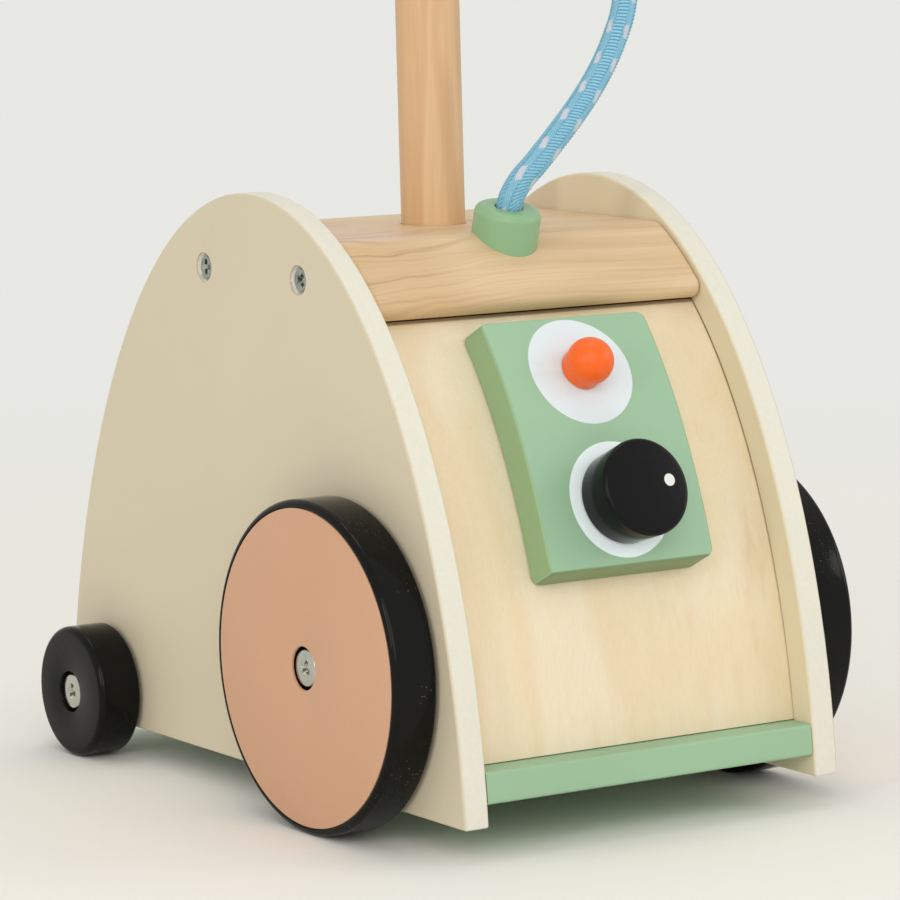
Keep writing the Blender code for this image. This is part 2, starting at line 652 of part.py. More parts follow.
def wheel_pair(end, y, radius, thickness, ease, face_radius, toy, looks):
    """Two wheels on one line, each turning on its own shouldered bolt over a washer."""
    shoulder = WHEEL_INSIDE + thickness - HUB_RECESS_DEPTH - BODY_WIDTH / 2
    runs = [(BOLT_SHOULDER_RADIUS, shoulder), (BOLT_THREAD_RADIUS, BOLT_THREAD_LENGTH)]
    bolt = screw_mesh(BOLT_HEAD_RADIUS, BOLT_HEAD_THICKNESS, runs)
    for side, sign in SIDES.items():
        axis = empty(f"{end}_axis_{side}", toy, (sign * WHEEL_INSIDE, y, radius), outward(side))
        wheel = wheel_mesh(radius, thickness, ease, face_radius)
        piece(f"{end}_wheel_{side}", wheel, looks["black"], axis)
        if face_radius:
            disc = washer_mesh(face_radius, HUB_RECESS_RADIUS, FACE_DISC_THICKNESS, 52)
            place = (0, 0, thickness - FACE_DISC_THICKNESS)
            piece(f"{end}_wheel_face_{side}", disc, looks["peach"], axis, place)
        ring = washer_mesh(WASHER_RADIUS, BOLT_SHOULDER_RADIUS + TURN_GAP, WASHER_THICKNESS)
        place = (0, 0, -TURN_GAP - WASHER_THICKNESS)
        piece(f"{end}_washer_{side}", ring, looks["zinc"], axis, place)
        place = (0, 0, thickness - HUB_RECESS_DEPTH + TURN_GAP)
        piece(f"{end}_bolt_{side}", bolt, looks["zinc"], axis, place)


def panel_screws(toy, looks):
    """Two recessed screws through each side into the ends of the block."""
    runs = [(PANEL_SCREW_RADIUS, PANEL_SCREW_LENGTH)]
    screw = screw_mesh(PANEL_SCREW_HEAD_RADIUS, PANEL_SCREW_HEAD_THICKNESS, runs)
    depth = PANEL_SCREW_RECESS_DEPTH - SEAT_GAP
    for side, sign in SIDES.items():
        for end, y in (("front", PANEL_SCREW_FRONT_Y), ("rear", PANEL_SCREW_REAR_Y)):
            place = (sign * (BODY_WIDTH / 2 - depth), y, (BLOCK_TOP + BLOCK_BOTTOM) / 2)
            piece(f"panel_screw_{side}_{end}", screw, looks["zinc"], toy, place, outward(side))


def middle_shift(angles):
    """Shift along Y that puts the origin under the middle of the toy."""
    seat, normal = on_plate(angles[2], angles)[0], arch_normal(angles[2])
    knob_front = seat[1] + normal.x * (TURN_GAP + KNOB_LENGTH) - normal.y * (KNOB_RADIUS - KNOB_EDGE_ROUND)
    rear = -arch_point(angle_at_height(PANEL_BOTTOM)).x
    return -(knob_front + rear) / 2


def main():
    for old in list(bpy.data.objects):
        bpy.data.objects.remove(old)
    looks = {
        "cream": finish("cream_paint", (0.72, 0.64, 0.49), 0.55),
        "honey": finish("honey_wood", (0.68, 0.44, 0.22), 0.5),
        "ply": finish("pale_plywood", (0.82, 0.64, 0.40), 0.55),
        "sage": finish("sage_paint", (0.33, 0.52, 0.35), 0.5),
        "black": finish("black_paint", (0.012, 0.012, 0.013), 0.4),
        "peach": finish("peach_paint", (0.66, 0.40, 0.27), 0.5),
        "orange": finish("orange_paint", (0.95, 0.13, 0.02), 0.4),
        "rope": finish("blue_rope", (0.16, 0.47, 0.72), 0.85),
        "zinc": finish("zinc_steel", (0.72, 0.72, 0.70), 0.3, 1.0),
    }
    angles = plate_angles()
    toy = empty("toy", None, (0, middle_shift(angles), 0))
    for side in SIDES:
        side_panel(side, toy, looks)
    top_block(toy, looks)
    base_board(toy, looks)
    axle_rail(toy, looks)
    bent_panels(toy, looks, angles)
    control_plate(toy, looks, angles)
    ball_button(toy, looks, angles)
    knob_set(toy, looks, angles)
    handle(toy, looks)
    rope_and_collar(toy, looks)
    wheel_pair("front", FRONT_AXLE_Y, FRONT_WHEEL_RADIUS, FRONT_WHEEL_THICKNESS, FRONT_WHEEL_ROUND,
               FACE_DISC_RADIUS, toy, looks)
    wheel_pair("rear", REAR_AXLE_Y, REAR_WHEEL_RADIUS, REAR_WHEEL_THICKNESS, REAR_WHEEL_ROUND,
               None, toy, looks)
    panel_screws(toy, looks)
    bpy.context.view_layer.update()
    for made in bpy.data.objects:
        if made.type == "EMPTY":
            place, axis = made.matrix_world.translation, made.matrix_world.to_3x3().col[2]
            print(made.name, [round(v, 6) for v in place], [round(v, 6) for v in axis])


main()
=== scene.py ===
# %% [markdown]
# # A wooden push-along toy vacuum cleaner
#
# The toy is a low arched box on two big and two small wheels, with an upright rod to push it by, a knob
# that turns, a ball button and a rope for a hose. The CAD frame already has every piece at its real size
# and place. This lesson dresses it: it turns the round pieces again with finer curves, braids the rope,
# drives the screws and gives every surface paint, wood or metal of its own. The frame comes in first.

# %% Load the frame
import json
import math

import bmesh
import bpy
import numpy as np
from mathutils import Euler, Matrix, Vector


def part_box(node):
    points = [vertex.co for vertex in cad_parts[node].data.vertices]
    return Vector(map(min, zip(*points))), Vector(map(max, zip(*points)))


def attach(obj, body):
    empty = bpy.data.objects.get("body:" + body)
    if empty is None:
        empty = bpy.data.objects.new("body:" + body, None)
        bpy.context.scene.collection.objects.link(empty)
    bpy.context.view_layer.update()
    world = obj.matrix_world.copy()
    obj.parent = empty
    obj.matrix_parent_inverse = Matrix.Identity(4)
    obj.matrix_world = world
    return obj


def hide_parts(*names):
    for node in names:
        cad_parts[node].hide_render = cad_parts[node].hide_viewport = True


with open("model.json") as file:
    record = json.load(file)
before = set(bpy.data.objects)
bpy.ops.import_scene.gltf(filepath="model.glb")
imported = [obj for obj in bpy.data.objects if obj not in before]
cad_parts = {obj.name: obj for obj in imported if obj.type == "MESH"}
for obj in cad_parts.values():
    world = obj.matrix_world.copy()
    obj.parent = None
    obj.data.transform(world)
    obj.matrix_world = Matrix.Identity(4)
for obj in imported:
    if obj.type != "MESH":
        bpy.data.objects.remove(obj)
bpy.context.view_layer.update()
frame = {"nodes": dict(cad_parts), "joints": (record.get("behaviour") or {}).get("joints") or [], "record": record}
nodes = frame["nodes"]
joints = {joint["name"]: joint for joint in frame["joints"]}
middle_y = frame["record"]["mounts"][0]["pos_m"][1]

# %% [markdown]
# ## Camera
#
# A camera can be placed by eye, or solved from edges that are measured in a picture. This one was solved
# from the panels, the wheels and the rod, so its angles are odd numbers. It stands low, to the toy's left,
# with a long lens that keeps upright lines nearly parallel.

# %% Camera
PHOTO_SIDE = 900
FOCAL_PIXELS = 4414.67
SENSOR_WIDTH = 36
FAR_CLIP = 60
CAMERA_AZIMUTH = math.radians(-33.58)
CAMERA_ELEVATION = math.radians(7.733)
CAMERA_ROLL = math.radians(-0.605)
CAMERA_PLACE = Vector((-0.75503, -1.14531 + middle_y, 0.28831))


def add_object(name, data):
    """An object with this data, linked to the scene."""
    made = bpy.data.objects.new(name, data)
    bpy.context.scene.collection.objects.link(made)
    return made


camera_data = bpy.data.cameras.new("camera")
camera_data.sensor_width = SENSOR_WIDTH
camera_data.lens = SENSOR_WIDTH * FOCAL_PIXELS / PHOTO_SIDE
camera_data.clip_end = FAR_CLIP
camera = add_object("camera", camera_data)
aim = Euler((math.pi / 2 - CAMERA_ELEVATION, 0, CAMERA_AZIMUTH)).to_matrix()
rolled = aim @ Matrix.Rotation(CAMERA_ROLL, 3, "Z")
camera.matrix_world = Matrix.Translation(CAMERA_PLACE) @ rolled.to_4x4()
bpy.context.scene.camera = camera
print(f"camera: {camera_data.lens:.1f} mm lens, {CAMERA_PLACE.length:.2f} m from the origin")

# %% [markdown]
# ## Shader maths
#
# A finish is easier to read as a formula than as a list of nodes and links. One small class wraps a socket:
# adding, multiplying or comparing wires makes the Math nodes, and `node` makes any other node, with its
# settings set first. The Geometry Nodes trees further down are built with it too.

# %% A wire is a socket that takes part in formulas
class Wire:
    def __init__(self, socket):
        self.socket = socket

    def node(self, kind, settings=None, inputs=None, out=0):
        made = self.socket.id_data.nodes.new(kind)
        for name, value in (settings or {}).items():
            setattr(made, name, value)
        for name, value in (inputs or {}).items():
            if isinstance(value, Wire):
                self.socket.id_data.links.new(value.socket, made.inputs[name])
            elif isinstance(value, tuple) and len(made.inputs[name].default_value) == 4:
                made.inputs[name].default_value = (*value[:3], 1)
            else:
                made.inputs[name].default_value = value
        return Wire(made.outputs[out])

    def maths(self, operation, *values):
        return self.node("ShaderNodeMath", {"operation": operation}, dict(enumerate(values)))

    def __add__(self, other):
        return self.maths("ADD", self, other)

    def __sub__(self, other):
        return self.maths("SUBTRACT", self, other)

    def __rsub__(self, other):
        return self.maths("SUBTRACT", other, self)

    def __mul__(self, other):
        return self.maths("MULTIPLY", self, other)

    def __truediv__(self, other):
        return self.maths("DIVIDE", self, other)

    __radd__ = __add__
    __rmul__ = __mul__

    def size(self):
        return self.maths("ABSOLUTE", self)

    def sine(self):
        return self.maths("SINE", self)

    def wave(self):
        """From 0 to 1 and back for each whole turn."""
        return (self * (2 * math.pi)).sine() * 0.5 + 0.5

    def fraction(self):
        return self - self.maths("FLOOR", self)

    def larger(self, other):
        return self.maths("MAXIMUM", self, other)

    def smaller(self, other):
        return self.maths("MINIMUM", self, other)

    def step(self, low, high):
        """0 below low, 1 above high and a smooth rise between; falls instead if low is above high."""
        settings = {"interpolation_type": "SMOOTHSTEP"}
        return self.node("ShaderNodeMapRange", settings, {"Value": self, "From Min": low, "From Max": high})

    def near(self, edge, band):
        """From 0 to 1 between two distances below an edge."""
        return self.step(edge - band[0], edge - band[1])

    def tint(self, low, high):
        """Colour between low and high, by this value, on the Mix node's sockets for colours."""
        return self.node("ShaderNodeMix", {"data_type": "RGBA"}, {0: self, 6: low, 7: high}, 2)

    def stretch(self, scale):
        """This vector, scaled by axis."""
        return self.node("ShaderNodeVectorMath", {"operation": "MULTIPLY"}, {0: self, 1: scale})

    def noise(self, scale, detail=2.0, roughness=0.5, distortion=0.0):
        inputs = {"Vector": self, "Scale": scale, "Detail": detail}
        inputs.update({"Roughness": roughness, "Distortion": distortion})
        return self.node("ShaderNodeTexNoise", None, inputs)

    def away(self, point):
        """Distance of this vector from a point."""
        inputs = {0: self, 1: tuple(point)}
        return self.node("ShaderNodeVectorMath", {"operation": "DISTANCE"}, inputs, "Value")

    def axes(self):
        return [self.node("ShaderNodeSeparateXYZ", None, {0: self}, axis) for axis in range(3)]


print("a wire adds, multiplies, compares and colours")

# %% Start and finish a material
SKIN_DEPTH = 0.00012


def new_look(name):
    """A material with its Principled shader and the wire of its Object coordinates."""
    look = bpy.data.materials.new(name)
    look.use_nodes = True
    shader = look.node_tree.nodes["Principled BSDF"]
    start = Wire(shader.outputs[0])
    return look, shader, start.node("ShaderNodeTexCoord", out="Object")


def finish_look(shader, colour, roughness, height, strength, depth=SKIN_DEPTH):
    """Gives a shader a colour, a roughness and a bump, whose height of 1 stands for a depth in metres."""
    bump = height.node("ShaderNodeBump", None, {"Height": height, "Distance": depth, "Strength": strength})
    for name, value in {"Base Color": colour, "Roughness": roughness, "Normal": bump}.items():
        if isinstance(value, Wire):
            shader.id_data.links.new(value.socket, shader.inputs[name])
        else:
            shader.inputs[name].default_value = value


def shade(colour, share):
    """A darker tone of a colour."""
    return tuple(share * part for part in colour)


print(f"a bump stands for {1000 * SKIN_DEPTH:.2f} mm, unless it says otherwise")

# %% [markdown]
# ## Stage
#
# The toy stands on a plain pale floor under soft light. From so low a camera the floor fills the picture,
# so it fades into the backdrop's colour a little way behind the toy. Only the camera and mirrors see that
# fade: to every other ray it is still floor, so the light on the toy doesn't change.

# %% Floor
BACKDROP = (0.805, 0.81, 0.775)
FLOOR_COLOUR = (0.865, 0.86, 0.81)
FLOOR_RADIUS = 12.0
FLOOR_ROUGHNESS = 0.85
FLOOR_GRAIN = 380
FLOOR_BUMP = 0.0002
FADE_START = 0.28
FADE_END = 1.1


def seen_directly(wire):
    """1 for camera, glossy and transmission rays."""
    kinds = ("Is Camera Ray", "Is Glossy Ray", "Is Transmission Ray")
    camera_ray, glossy, through = (wire.node("ShaderNodeLightPath", out=kind) for kind in kinds)
    return camera_ray.larger(glossy).larger(through)


def close_mesh(bm, name):
    """Turns a bmesh into a mesh."""
    data = bpy.data.meshes.new(name)
    bm.to_mesh(data)
    bm.free()
    return data


def build_floor():
    look, shader, place = new_look("studio_floor")
    grain = place.noise(FLOOR_GRAIN, 3)
    colour = grain.tint(shade(FLOOR_COLOUR, 0.96), FLOOR_COLOUR)
    finish_look(shader, colour, FLOOR_ROUGHNESS, grain, 0.2, FLOOR_BUMP)
    far = place.away((0, 0, 0)).step(FADE_START, FADE_END)
    glow = place.node("ShaderNodeEmission", None, {"Color": BACKDROP, "Strength": 1.0})
    base = Wire(shader.outputs[0])
    mixed = place.node("ShaderNodeMixShader", None, {0: far * seen_directly(place), 1: base, 2: glow})
    look.node_tree.links.new(mixed.socket, look.node_tree.nodes["Material Output"].inputs[0])
    bm = bmesh.new()
    bmesh.ops.create_circle(bm, cap_ends=True, segments=96, radius=FLOOR_RADIUS)
    data = close_mesh(bm, "floor")
    data.materials.append(look)
    floor = add_object("floor", data)


build_floor()
print(f"floor: fades from {FADE_START} to {FADE_END} m")

# %% [markdown]
# ### Light
#
# A product picture is lit by large soft sources. The world gives an even base, a softbox and a fill light
# serve the two sides of the front, and a top light serves the block and the floor. A narrow strip at the
# left draws a thin bright line along the tyre's rim. All of them stay at a plain level, so a colour renders
# about as written.

# %% World and lamps
WORLD_STRENGTH = 0.74
WARM_LIGHT = (1.0, 0.985, 0.96)
WHITE_LIGHT = (1.0, 0.99, 0.97)
BODY_MIDDLE = (0, 0, 0.12)


def build_world():
    world = bpy.data.worlds.new("studio")
    bpy.context.scene.world = world
    world.use_nodes = True
    light = world.node_tree.nodes["Background"]
    light.inputs["Color"].default_value = (*WARM_LIGHT, 1)
    light.inputs["Strength"].default_value = WORLD_STRENGTH
    start = Wire(light.outputs[0])
    shown = start.node("ShaderNodeBackground", None, {"Color": BACKDROP, "Strength": 1.0})
    mixed = start.node("ShaderNodeMixShader", None, {0: seen_directly(start), 1: start, 2: shown})
    world.node_tree.links.new(mixed.socket, world.node_tree.nodes["World Output"].inputs[0])


def build_lamp(name, place, target, size, power, colour=WHITE_LIGHT, height=None):
    """A round area lamp, or an upright strip where it has a height."""
    lamp = bpy.data.lights.new(name, "AREA")
    lamp.shape = "RECTANGLE" if height else "DISK"
    lamp.size = size
    lamp.size_y = height or size
    lamp.energy = power
    lamp.color = colour
    made = add_object(name, lamp)
    made.location = place
    made.rotation_euler = (Vector(target) - Vector(place)).to_track_quat("-Z", "Y").to_euler()


build_world()
build_lamp("softbox", (-1.0, -1.75, 1.05), BODY_MIDDLE, 1.5, 11.2, WARM_LIGHT)
build_lamp("strip_light", (-1.7, -0.8, 0.72), BODY_MIDDLE, 0.12, 4.8, height=0.75)
build_lamp("fill_light", (1.7, -1.1, 0.9), (0, 0, 0.2), 0.9, 5.5)
build_lamp("top_light", (0.2, 0.3, 2.6), (0, 0, 0), 1.2, 7.0)
bpy.context.scene.view_settings.view_transform = "Standard"
print("light: the world and four lamps")

# %% [markdown]
# ## Paint
#
# Most of the toy is wood under sprayed paint. Sprayed paint isn't flat: it has a fine orange-peel skin and
# drifts a little in tone. Each paint below is two tones of one colour with that skin as a bump. On the
# black tyres pale specks show too, partly dust and partly painted glints, and the paint is thick and lumpy
# where it ran over the rim.

# %% Plain paint and tyre paint
DRIFT_SCALE = 14
SKIN_SCALE = 900
SKIN_ROUGHNESS = 0.16
RIM_RISE = (0.0030, 0.0017)
RIM_FALL = (0.0001, 0.0004)
LUMP_SCALE = 420
DUST_AND_GLINT_SCALE = 1500
DUST_AND_GLINT_PATCH_SCALE = 60
DUST_AND_GLINT = (0.42, 0.41, 0.38)


def new_paint(name, shine=0.5):
    """A new look with the wires of a paint's slow drift of tone and its fine skin, each from 0 to 1."""
    look, shader, place = new_look(name)
    shader.inputs["Specular IOR Level"].default_value = shine
    return look, shader, place, place.noise(DRIFT_SCALE, 3), place.noise(SKIN_SCALE, 2, 0.55)


def drifting(drift, light, dark):
    return drift.step(0.25, 0.75).tint(dark, light)


def paint(name, light, dark, roughness, shine=0.5, peel=0.35):
    look, shader, _, drift, skin = new_paint(name, shine)
    colour = drifting(drift, light, dark)
    finish_look(shader, colour, skin * SKIN_ROUGHNESS + roughness, skin + drift * 0.6, peel)
    return look


def tyre_paint(name, light, dark, roughness, shine):
    """Black paint with pale specks, partly dust and partly painted glints, thick and lumpy where it ran over the
    outer rim.
    """
    look, shader, place, drift, skin = new_paint(name, shine)
    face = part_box("front_wheel_right")[1][0]
    across = place.axes()[0].size()
    rim = across.near(face, RIM_RISE) * across.near(face, RIM_FALL)
    lump = place.noise(LUMP_SCALE, 2)
    # Pale specks in patches: partly dust, partly painted glints of light on the tread.
    specks = place.noise(DUST_AND_GLINT_SCALE, 1, 0.4).step(0.70, 0.75)
    dust_and_glint = specks * place.noise(DUST_AND_GLINT_PATCH_SCALE, 2).step(0.50, 0.64)
    colour = (dust_and_glint * 0.22).tint(drifting(drift, light, dark), DUST_AND_GLINT)
    height = skin + drift * 0.6 + lump * rim * 2.5
    finish_look(shader, colour, skin * 0.10 + roughness, height, 0.14)
    return look


looks = {
    "sage": paint("sage_paint", (0.325, 0.515, 0.325), (0.30, 0.48, 0.30), 0.40),
    "black": tyre_paint("black_paint", (0.0065, 0.0065, 0.0057), (0.0048, 0.0048, 0.0042), 0.05, 0.12),
    "collar": paint("collar_paint", (0.275, 0.475, 0.255), (0.25, 0.44, 0.235), 0.26),
    "peach": paint("peach_paint", (0.62, 0.355, 0.215), (0.595, 0.335, 0.20), 0.46),
    "orange": paint("orange_paint", (0.93, 0.138, 0.013), (0.89, 0.125, 0.011), 0.24, 0.3, 0.12),
}
print(f"paints: {', '.join(looks)}")

# %% [markdown]
# ### Paint with a mask
#
# Some paint changes from place to place: the panels are beige with a lighter cream round their edges, and
# the plate has white rounds. A spot or an edge could be a material of its own, but that needs a cut in the
# mesh. A mask on Object coordinates needs none, and it stays put on the surface when the piece moves.

# %% Panel paint and spotted paint
PANEL_BEIGE = (0.665, 0.585, 0.425)
# Painted light: the inner faces are paler, lifting them out of the shade between the panels.
PANEL_INSIDE_PAINTED_LIGHT = (0.75, 0.66, 0.47)
PANEL_EDGE = (0.757, 0.735, 0.632)
PANEL_ROUGHNESS = 0.42
EDGE_FIBRE_SCALE = (900, 40, 900)
EDGE_WANDER_SCALE = 260
EDGE_WANDER = 0.0003
EDGE_BAND = (0.0001, 0.0007)
INSIDE_BAND = 0.001
WOBBLE_SCALE = 300
SPOT_EDGE = 0.00012
SPOT_RISE = 0.8


def side_paint(name, face, inside, edge_colour):
    """Beige on a panel's outer face, a paler one inside as painted light, and a lighter cream round its edge."""
    look, shader, place, drift, skin = new_paint(name)
    low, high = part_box("side_panel_right")
    mid, half = (low[0] + high[0]) / 2, (high[0] - low[0]) / 2
    sideways = place.axes()[0].size()
    across = (sideways - mid).size()
    fibre = place.stretch(EDGE_FIBRE_SCALE).noise(1, 3)
    wander = place.noise(EDGE_WANDER_SCALE, 2) * EDGE_WANDER
    on_edge = (across + wander).near(half, EDGE_BAND)
    beige = drifting(drift, face, shade(face, 0.965))
    # The paler inner face is painted light.
    beige = sideways.step(mid, mid - INSIDE_BAND).tint(beige, inside)
    cream = fibre.step(0.3, 0.75).tint(shade(edge_colour, 0.965), edge_colour)
    roughness = skin * SKIN_ROUGHNESS + PANEL_ROUGHNESS
    finish_look(shader, on_edge.tint(beige, cream), roughness, skin + drift * 0.5, 0.35)
    return look


def spotted(name, light, dark, roughness, spots, shine=0.5, peel=0.35, sides=()):
    """Paint with spots, each a point on the surface, a radius and a colour.

    Sides gives other colours to parts of it, by functions that turn the place into a mask.
    """
    look, shader, place, drift, skin = new_paint(name, shine)
    colour = drifting(drift, light, dark)
    for mask, side_colour in sides:
        colour = mask(place).tint(colour, side_colour)
    raised = skin
    for point, radius, spot_colour in spots:
        wobble = place.noise(WOBBLE_SCALE, 1) * SPOT_EDGE
        inside = (place.away(point) + wobble).step(radius + SPOT_EDGE, radius - SPOT_EDGE)
        colour = inside.tint(colour, spot_colour)
        raised = raised + inside * SPOT_RISE
    finish_look(shader, colour, skin * SKIN_ROUGHNESS + roughness, raised, peel)
    return look


looks["cream"] = side_paint("beige_paint", PANEL_BEIGE, PANEL_INSIDE_PAINTED_LIGHT, PANEL_EDGE)
print("panel paint: beige, paler inside, cream edge")

# %% [markdown]
# ## Wood
#
# Wood is long fibres. Along the grain it has slow bands from the growth rings, finer streaks in them, and
# here and there a dark mark. All of these are noise that is squeezed across the grain and drawn out along
# it, so one function serves the rod, the crossbar and the plywood, each with its own grain direction and
# its own tones.

# %% Rod and plywood
ROD_TONES = ((0.735, 0.49, 0.27), (0.63, 0.383, 0.194), (0.48, 0.26, 0.115))
PLY_TONES = ((0.84, 0.735, 0.55), (0.795, 0.65, 0.425), (0.72, 0.52, 0.30))
# The colour of the painted shade at the plywood's joints.
JOINT_SHADE_BROWN = (0.19, 0.11, 0.05)
ROD_BANDS = 105
PLY_BANDS = 26
BAND_STRETCH = 15
FLOW_SCALE = (14, 3)
STREAK_SCALE = (240, 6)
FIBRE_SCALE = (1500, 20)
PATCH_SCALE = (11, 5)
MARK_SCALE = (130, 5)
SIDE_JOINT = (0.0006, 0.0001)
TOP_JOINT = (0.0011, 0.0006)
JOINT_START = 0.02
CROSSBAR_CUT = (0.2, 0.0, 0.4)


def wood(name, tones, along, bands, marks, gloss, offset=(0, 0, 0), shaded=None):
    """Wood of a pale, a middle and a deep tone, with its grain along one axis.

    Shaded turns the place into a mask of painted shade, such as the lines of shade at its joints.
    """
    pale, middle, deep = tones
    look, shader, place = new_look(name)
    moved = place.node("ShaderNodeVectorMath", {"operation": "ADD"}, {0: place, 1: offset})

    def drawn(across, length):
        """The place, scaled across and along the grain."""
        return moved.stretch(tuple(length if axis == along else across for axis in range(3)))

    flow = drawn(*FLOW_SCALE).noise(1, 2)
    broad = drawn(bands, bands / BAND_STRETCH).noise(1, 2, 0.5, 0.5)
    rings = (broad * 3.2 + flow * 1.2).wave()
    streak = drawn(*STREAK_SCALE).noise(1, 4, 0.6)
    fibre = drawn(*FIBRE_SCALE).noise(1, 2)
    colour = (broad * 0.55 + rings * 0.22 + streak * 0.35).step(0.30, 0.80).tint(pale, middle)
    colour = (fibre.step(0.35, 0.75) * 0.16).tint(colour, shade(middle, 0.82))
    patch = drawn(*PATCH_SCALE).noise(1, 1).step(0.47, 0.62)
    mark = drawn(*MARK_SCALE).noise(1, 3, 0.65).step(0.55, 0.72) * patch * marks
    colour = mark.tint(colour, deep)
    # Painted shade darkens the joints.
    if shaded:
        colour = shaded(place).tint(colour, JOINT_SHADE_BROWN)
    finish_look(shader, colour, streak * 0.18 + gloss, fibre * 0.5 + streak * 0.4 - mark * 0.5, 0.3)
    return look


def ply_joint_shade(place):
    """Painted shade: thin dark lines where the plywood meets the side panels and goes up behind the block."""
    x, _, z = place.axes()
    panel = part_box("side_panel_right")[0][0]
    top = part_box("front_panel")[1][2]
    beside = x.size().near(panel, SIDE_JOINT)
    above = z.near(top, TOP_JOINT)
    # The painted shade beside the panels grows darker towards the top.
    return (beside * (z.step(JOINT_START, top) * 0.65 + 0.15)).larger(above * 0.75)


looks["rod"] = wood("rod_wood", ROD_TONES, 2, ROD_BANDS, 0.5, 0.34)
looks["bar"] = wood("crossbar_wood", ROD_TONES, 0, ROD_BANDS, 0.5, 0.34, CROSSBAR_CUT)
looks["ply"] = wood("plywood", PLY_TONES, 2, PLY_BANDS, 0.35, 0.42, shaded=ply_joint_shade)
print("woods: rod, crossbar, plywood")

# %% [markdown]
# ### The block's wood
#
# The top block is sawn flat from the log, so its growth rings come out as wide wavy lines. A height that
# sways along the grain gives those lines, and the streaks follow the same sway. The block is browner
# towards its left end, with a lively figure there, and rosier on its flat top.

# %% Block
BLOCK_TONES = ((0.72, 0.538, 0.325), (0.62, 0.412, 0.222), (0.38, 0.195, 0.085))
ROSY_WOOD = (0.69, 0.52, 0.40)
TOASTED_WOOD = (0.605, 0.395, 0.203)
RING_PITCH = 0.0075
RING_LEAN = (0.03, 0.45)
SWAY_SCALE = (15, 34, 34)
SWAY_HEIGHT = 0.005
FLAME_HEIGHT = 0.012
FLAME_REACH = (0.0, -0.052)
CLOUD_SCALE = (9, 60, 60)
BLOCK_STREAK_SCALE = (8, 230, 230)
LINE_SCALE = (14, 900, 900)
BLOCK_FIBRE_SCALE = (24, 1700, 1700)
ROSY_REACH = (-0.016, -0.040)
ROSY_DEPTH = (0.0014, 0.0003)
TOASTED_REACH = (-0.018, -0.038)
FIGURE_DEPTH = (0.014, 0.006)


def ringed_wood(name, tones, ring, gloss):
    """A flat-sawn block with its grain along X: wavy growth rings, browner towards its left end."""
    pale, middle, deep = tones
    look, shader, place = new_look(name)
    x, y, z = place.axes()
    sway = place.stretch(SWAY_SCALE).noise(1, 3, 0.55)
    flame = x.step(*FLAME_REACH)
    lean_x, lean_y = RING_LEAN
    depth = z + y * lean_y + x * lean_x + sway * SWAY_HEIGHT + flame * sway * FLAME_HEIGHT
    late = (depth / ring).wave()
    level = place.node("ShaderNodeCombineXYZ", None, {0: x, 1: depth, 2: depth})
    uneven = place.stretch(CLOUD_SCALE).noise(1, 2).step(0.30, 0.66)
    streak = level.stretch(BLOCK_STREAK_SCALE).noise(1, 3, 0.6)
    fine = level.stretch(LINE_SCALE).noise(1, 2).step(0.52, 0.72)
    fibre = place.stretch(BLOCK_FIBRE_SCALE).noise(1, 2)
    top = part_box("top_block")[1][2]
    rosy = z.near(top, ROSY_DEPTH) * x.step(*ROSY_REACH)
    toasted = x.step(*TOASTED_REACH) * (1.0 - rosy) * (uneven * 0.4 + 0.6)
    high = z.near(top, FIGURE_DEPTH)
    figure = uneven * 0.10 + flame * (late * 0.75 + high * 0.35) + 0.04
    colour = (streak * 0.7 + uneven * 0.25 + late * 0.15).step(0.36, 0.98).tint(pale, middle)
    colour = (rosy * 0.7).tint(colour, ROSY_WOOD)
    colour = (toasted * 0.85).tint(colour, TOASTED_WOOD)
    colour = (streak.step(0.50, 0.68) * figure).tint(colour, deep)
    colour = (fine * (flame * 0.22 + 0.08)).tint(colour, deep)
    colour = (fibre.step(0.40, 0.75) * 0.15).tint(colour, shade(middle, 0.75))
    finish_look(shader, colour, streak * 0.18 + gloss, fibre * 0.5 + streak * 0.4 - late * 0.2, 0.3)
    return look


looks["block"] = ringed_wood("block_wood", BLOCK_TONES, RING_PITCH, 0.38)
print(f"block wood: a ring every {1000 * RING_PITCH:.1f} mm")

# %% [markdown]
# ## Zinc and steel
#
# The bolts are steel with a thin zinc plating: bright, but dulled by a fine matt bloom and a few scratches.
# The panel screws are plain darker steel, so one function makes both.

# %% Zinc and steel
BLOOM_SCALE = 500
SCRATCH_SCALE = (300, 2400, 300)
DENT_SCALE = 220
DENT_SHARE = 9.0
METAL_BUMP = 0.00004


def metal(name, dull, bright, roughness):
    look, shader, place = new_look(name)
    shader.inputs["Metallic"].default_value = 1.0
    bloom = place.noise(BLOOM_SCALE, 3)
    scratch = place.stretch(SCRATCH_SCALE).noise(1, 2).step(0.62, 0.72)
    dent = place.noise(DENT_SCALE, 1)
    height = dent * DENT_SHARE + bloom + scratch
    finish_look(shader, bloom.tint(dull, bright), bloom * 0.22 + roughness, height, 0.5, METAL_BUMP)
    return look


looks["zinc"] = metal("zinc_plating", (0.40, 0.41, 0.37), (0.60, 0.61, 0.56), 0.10)
looks["steel"] = metal("screw_steel", (0.26, 0.28, 0.255), (0.44, 0.465, 0.43), 0.16)
print("metals: zinc, steel")

# %% [markdown]
# ## Flat pieces
#
# The panels, boards, plate and rod have the right shape in the frame already, but a CAD mesh is loose
# triangles with flat shading. A copy with its points merged can be shaded smooth. Weighted normals keep the
# big faces flat and let only the rounded edges turn, as they do on a sanded board.

# %% Finish a flat piece
FLAT_SHARP = math.radians(44)
FLAT_ENOUGH = math.radians(0.2)
SAME_POINT = 2e-6


def evaluated_mesh(made):
    """The mesh of an object with its modifiers applied."""
    bpy.context.view_layer.update()
    graph = bpy.context.evaluated_depsgraph_get()
    return bpy.data.meshes.new_from_object(made.evaluated_get(graph))


def apply_modifiers(made):
    data = evaluated_mesh(made)
    made.modifiers.clear()
    made.data = data


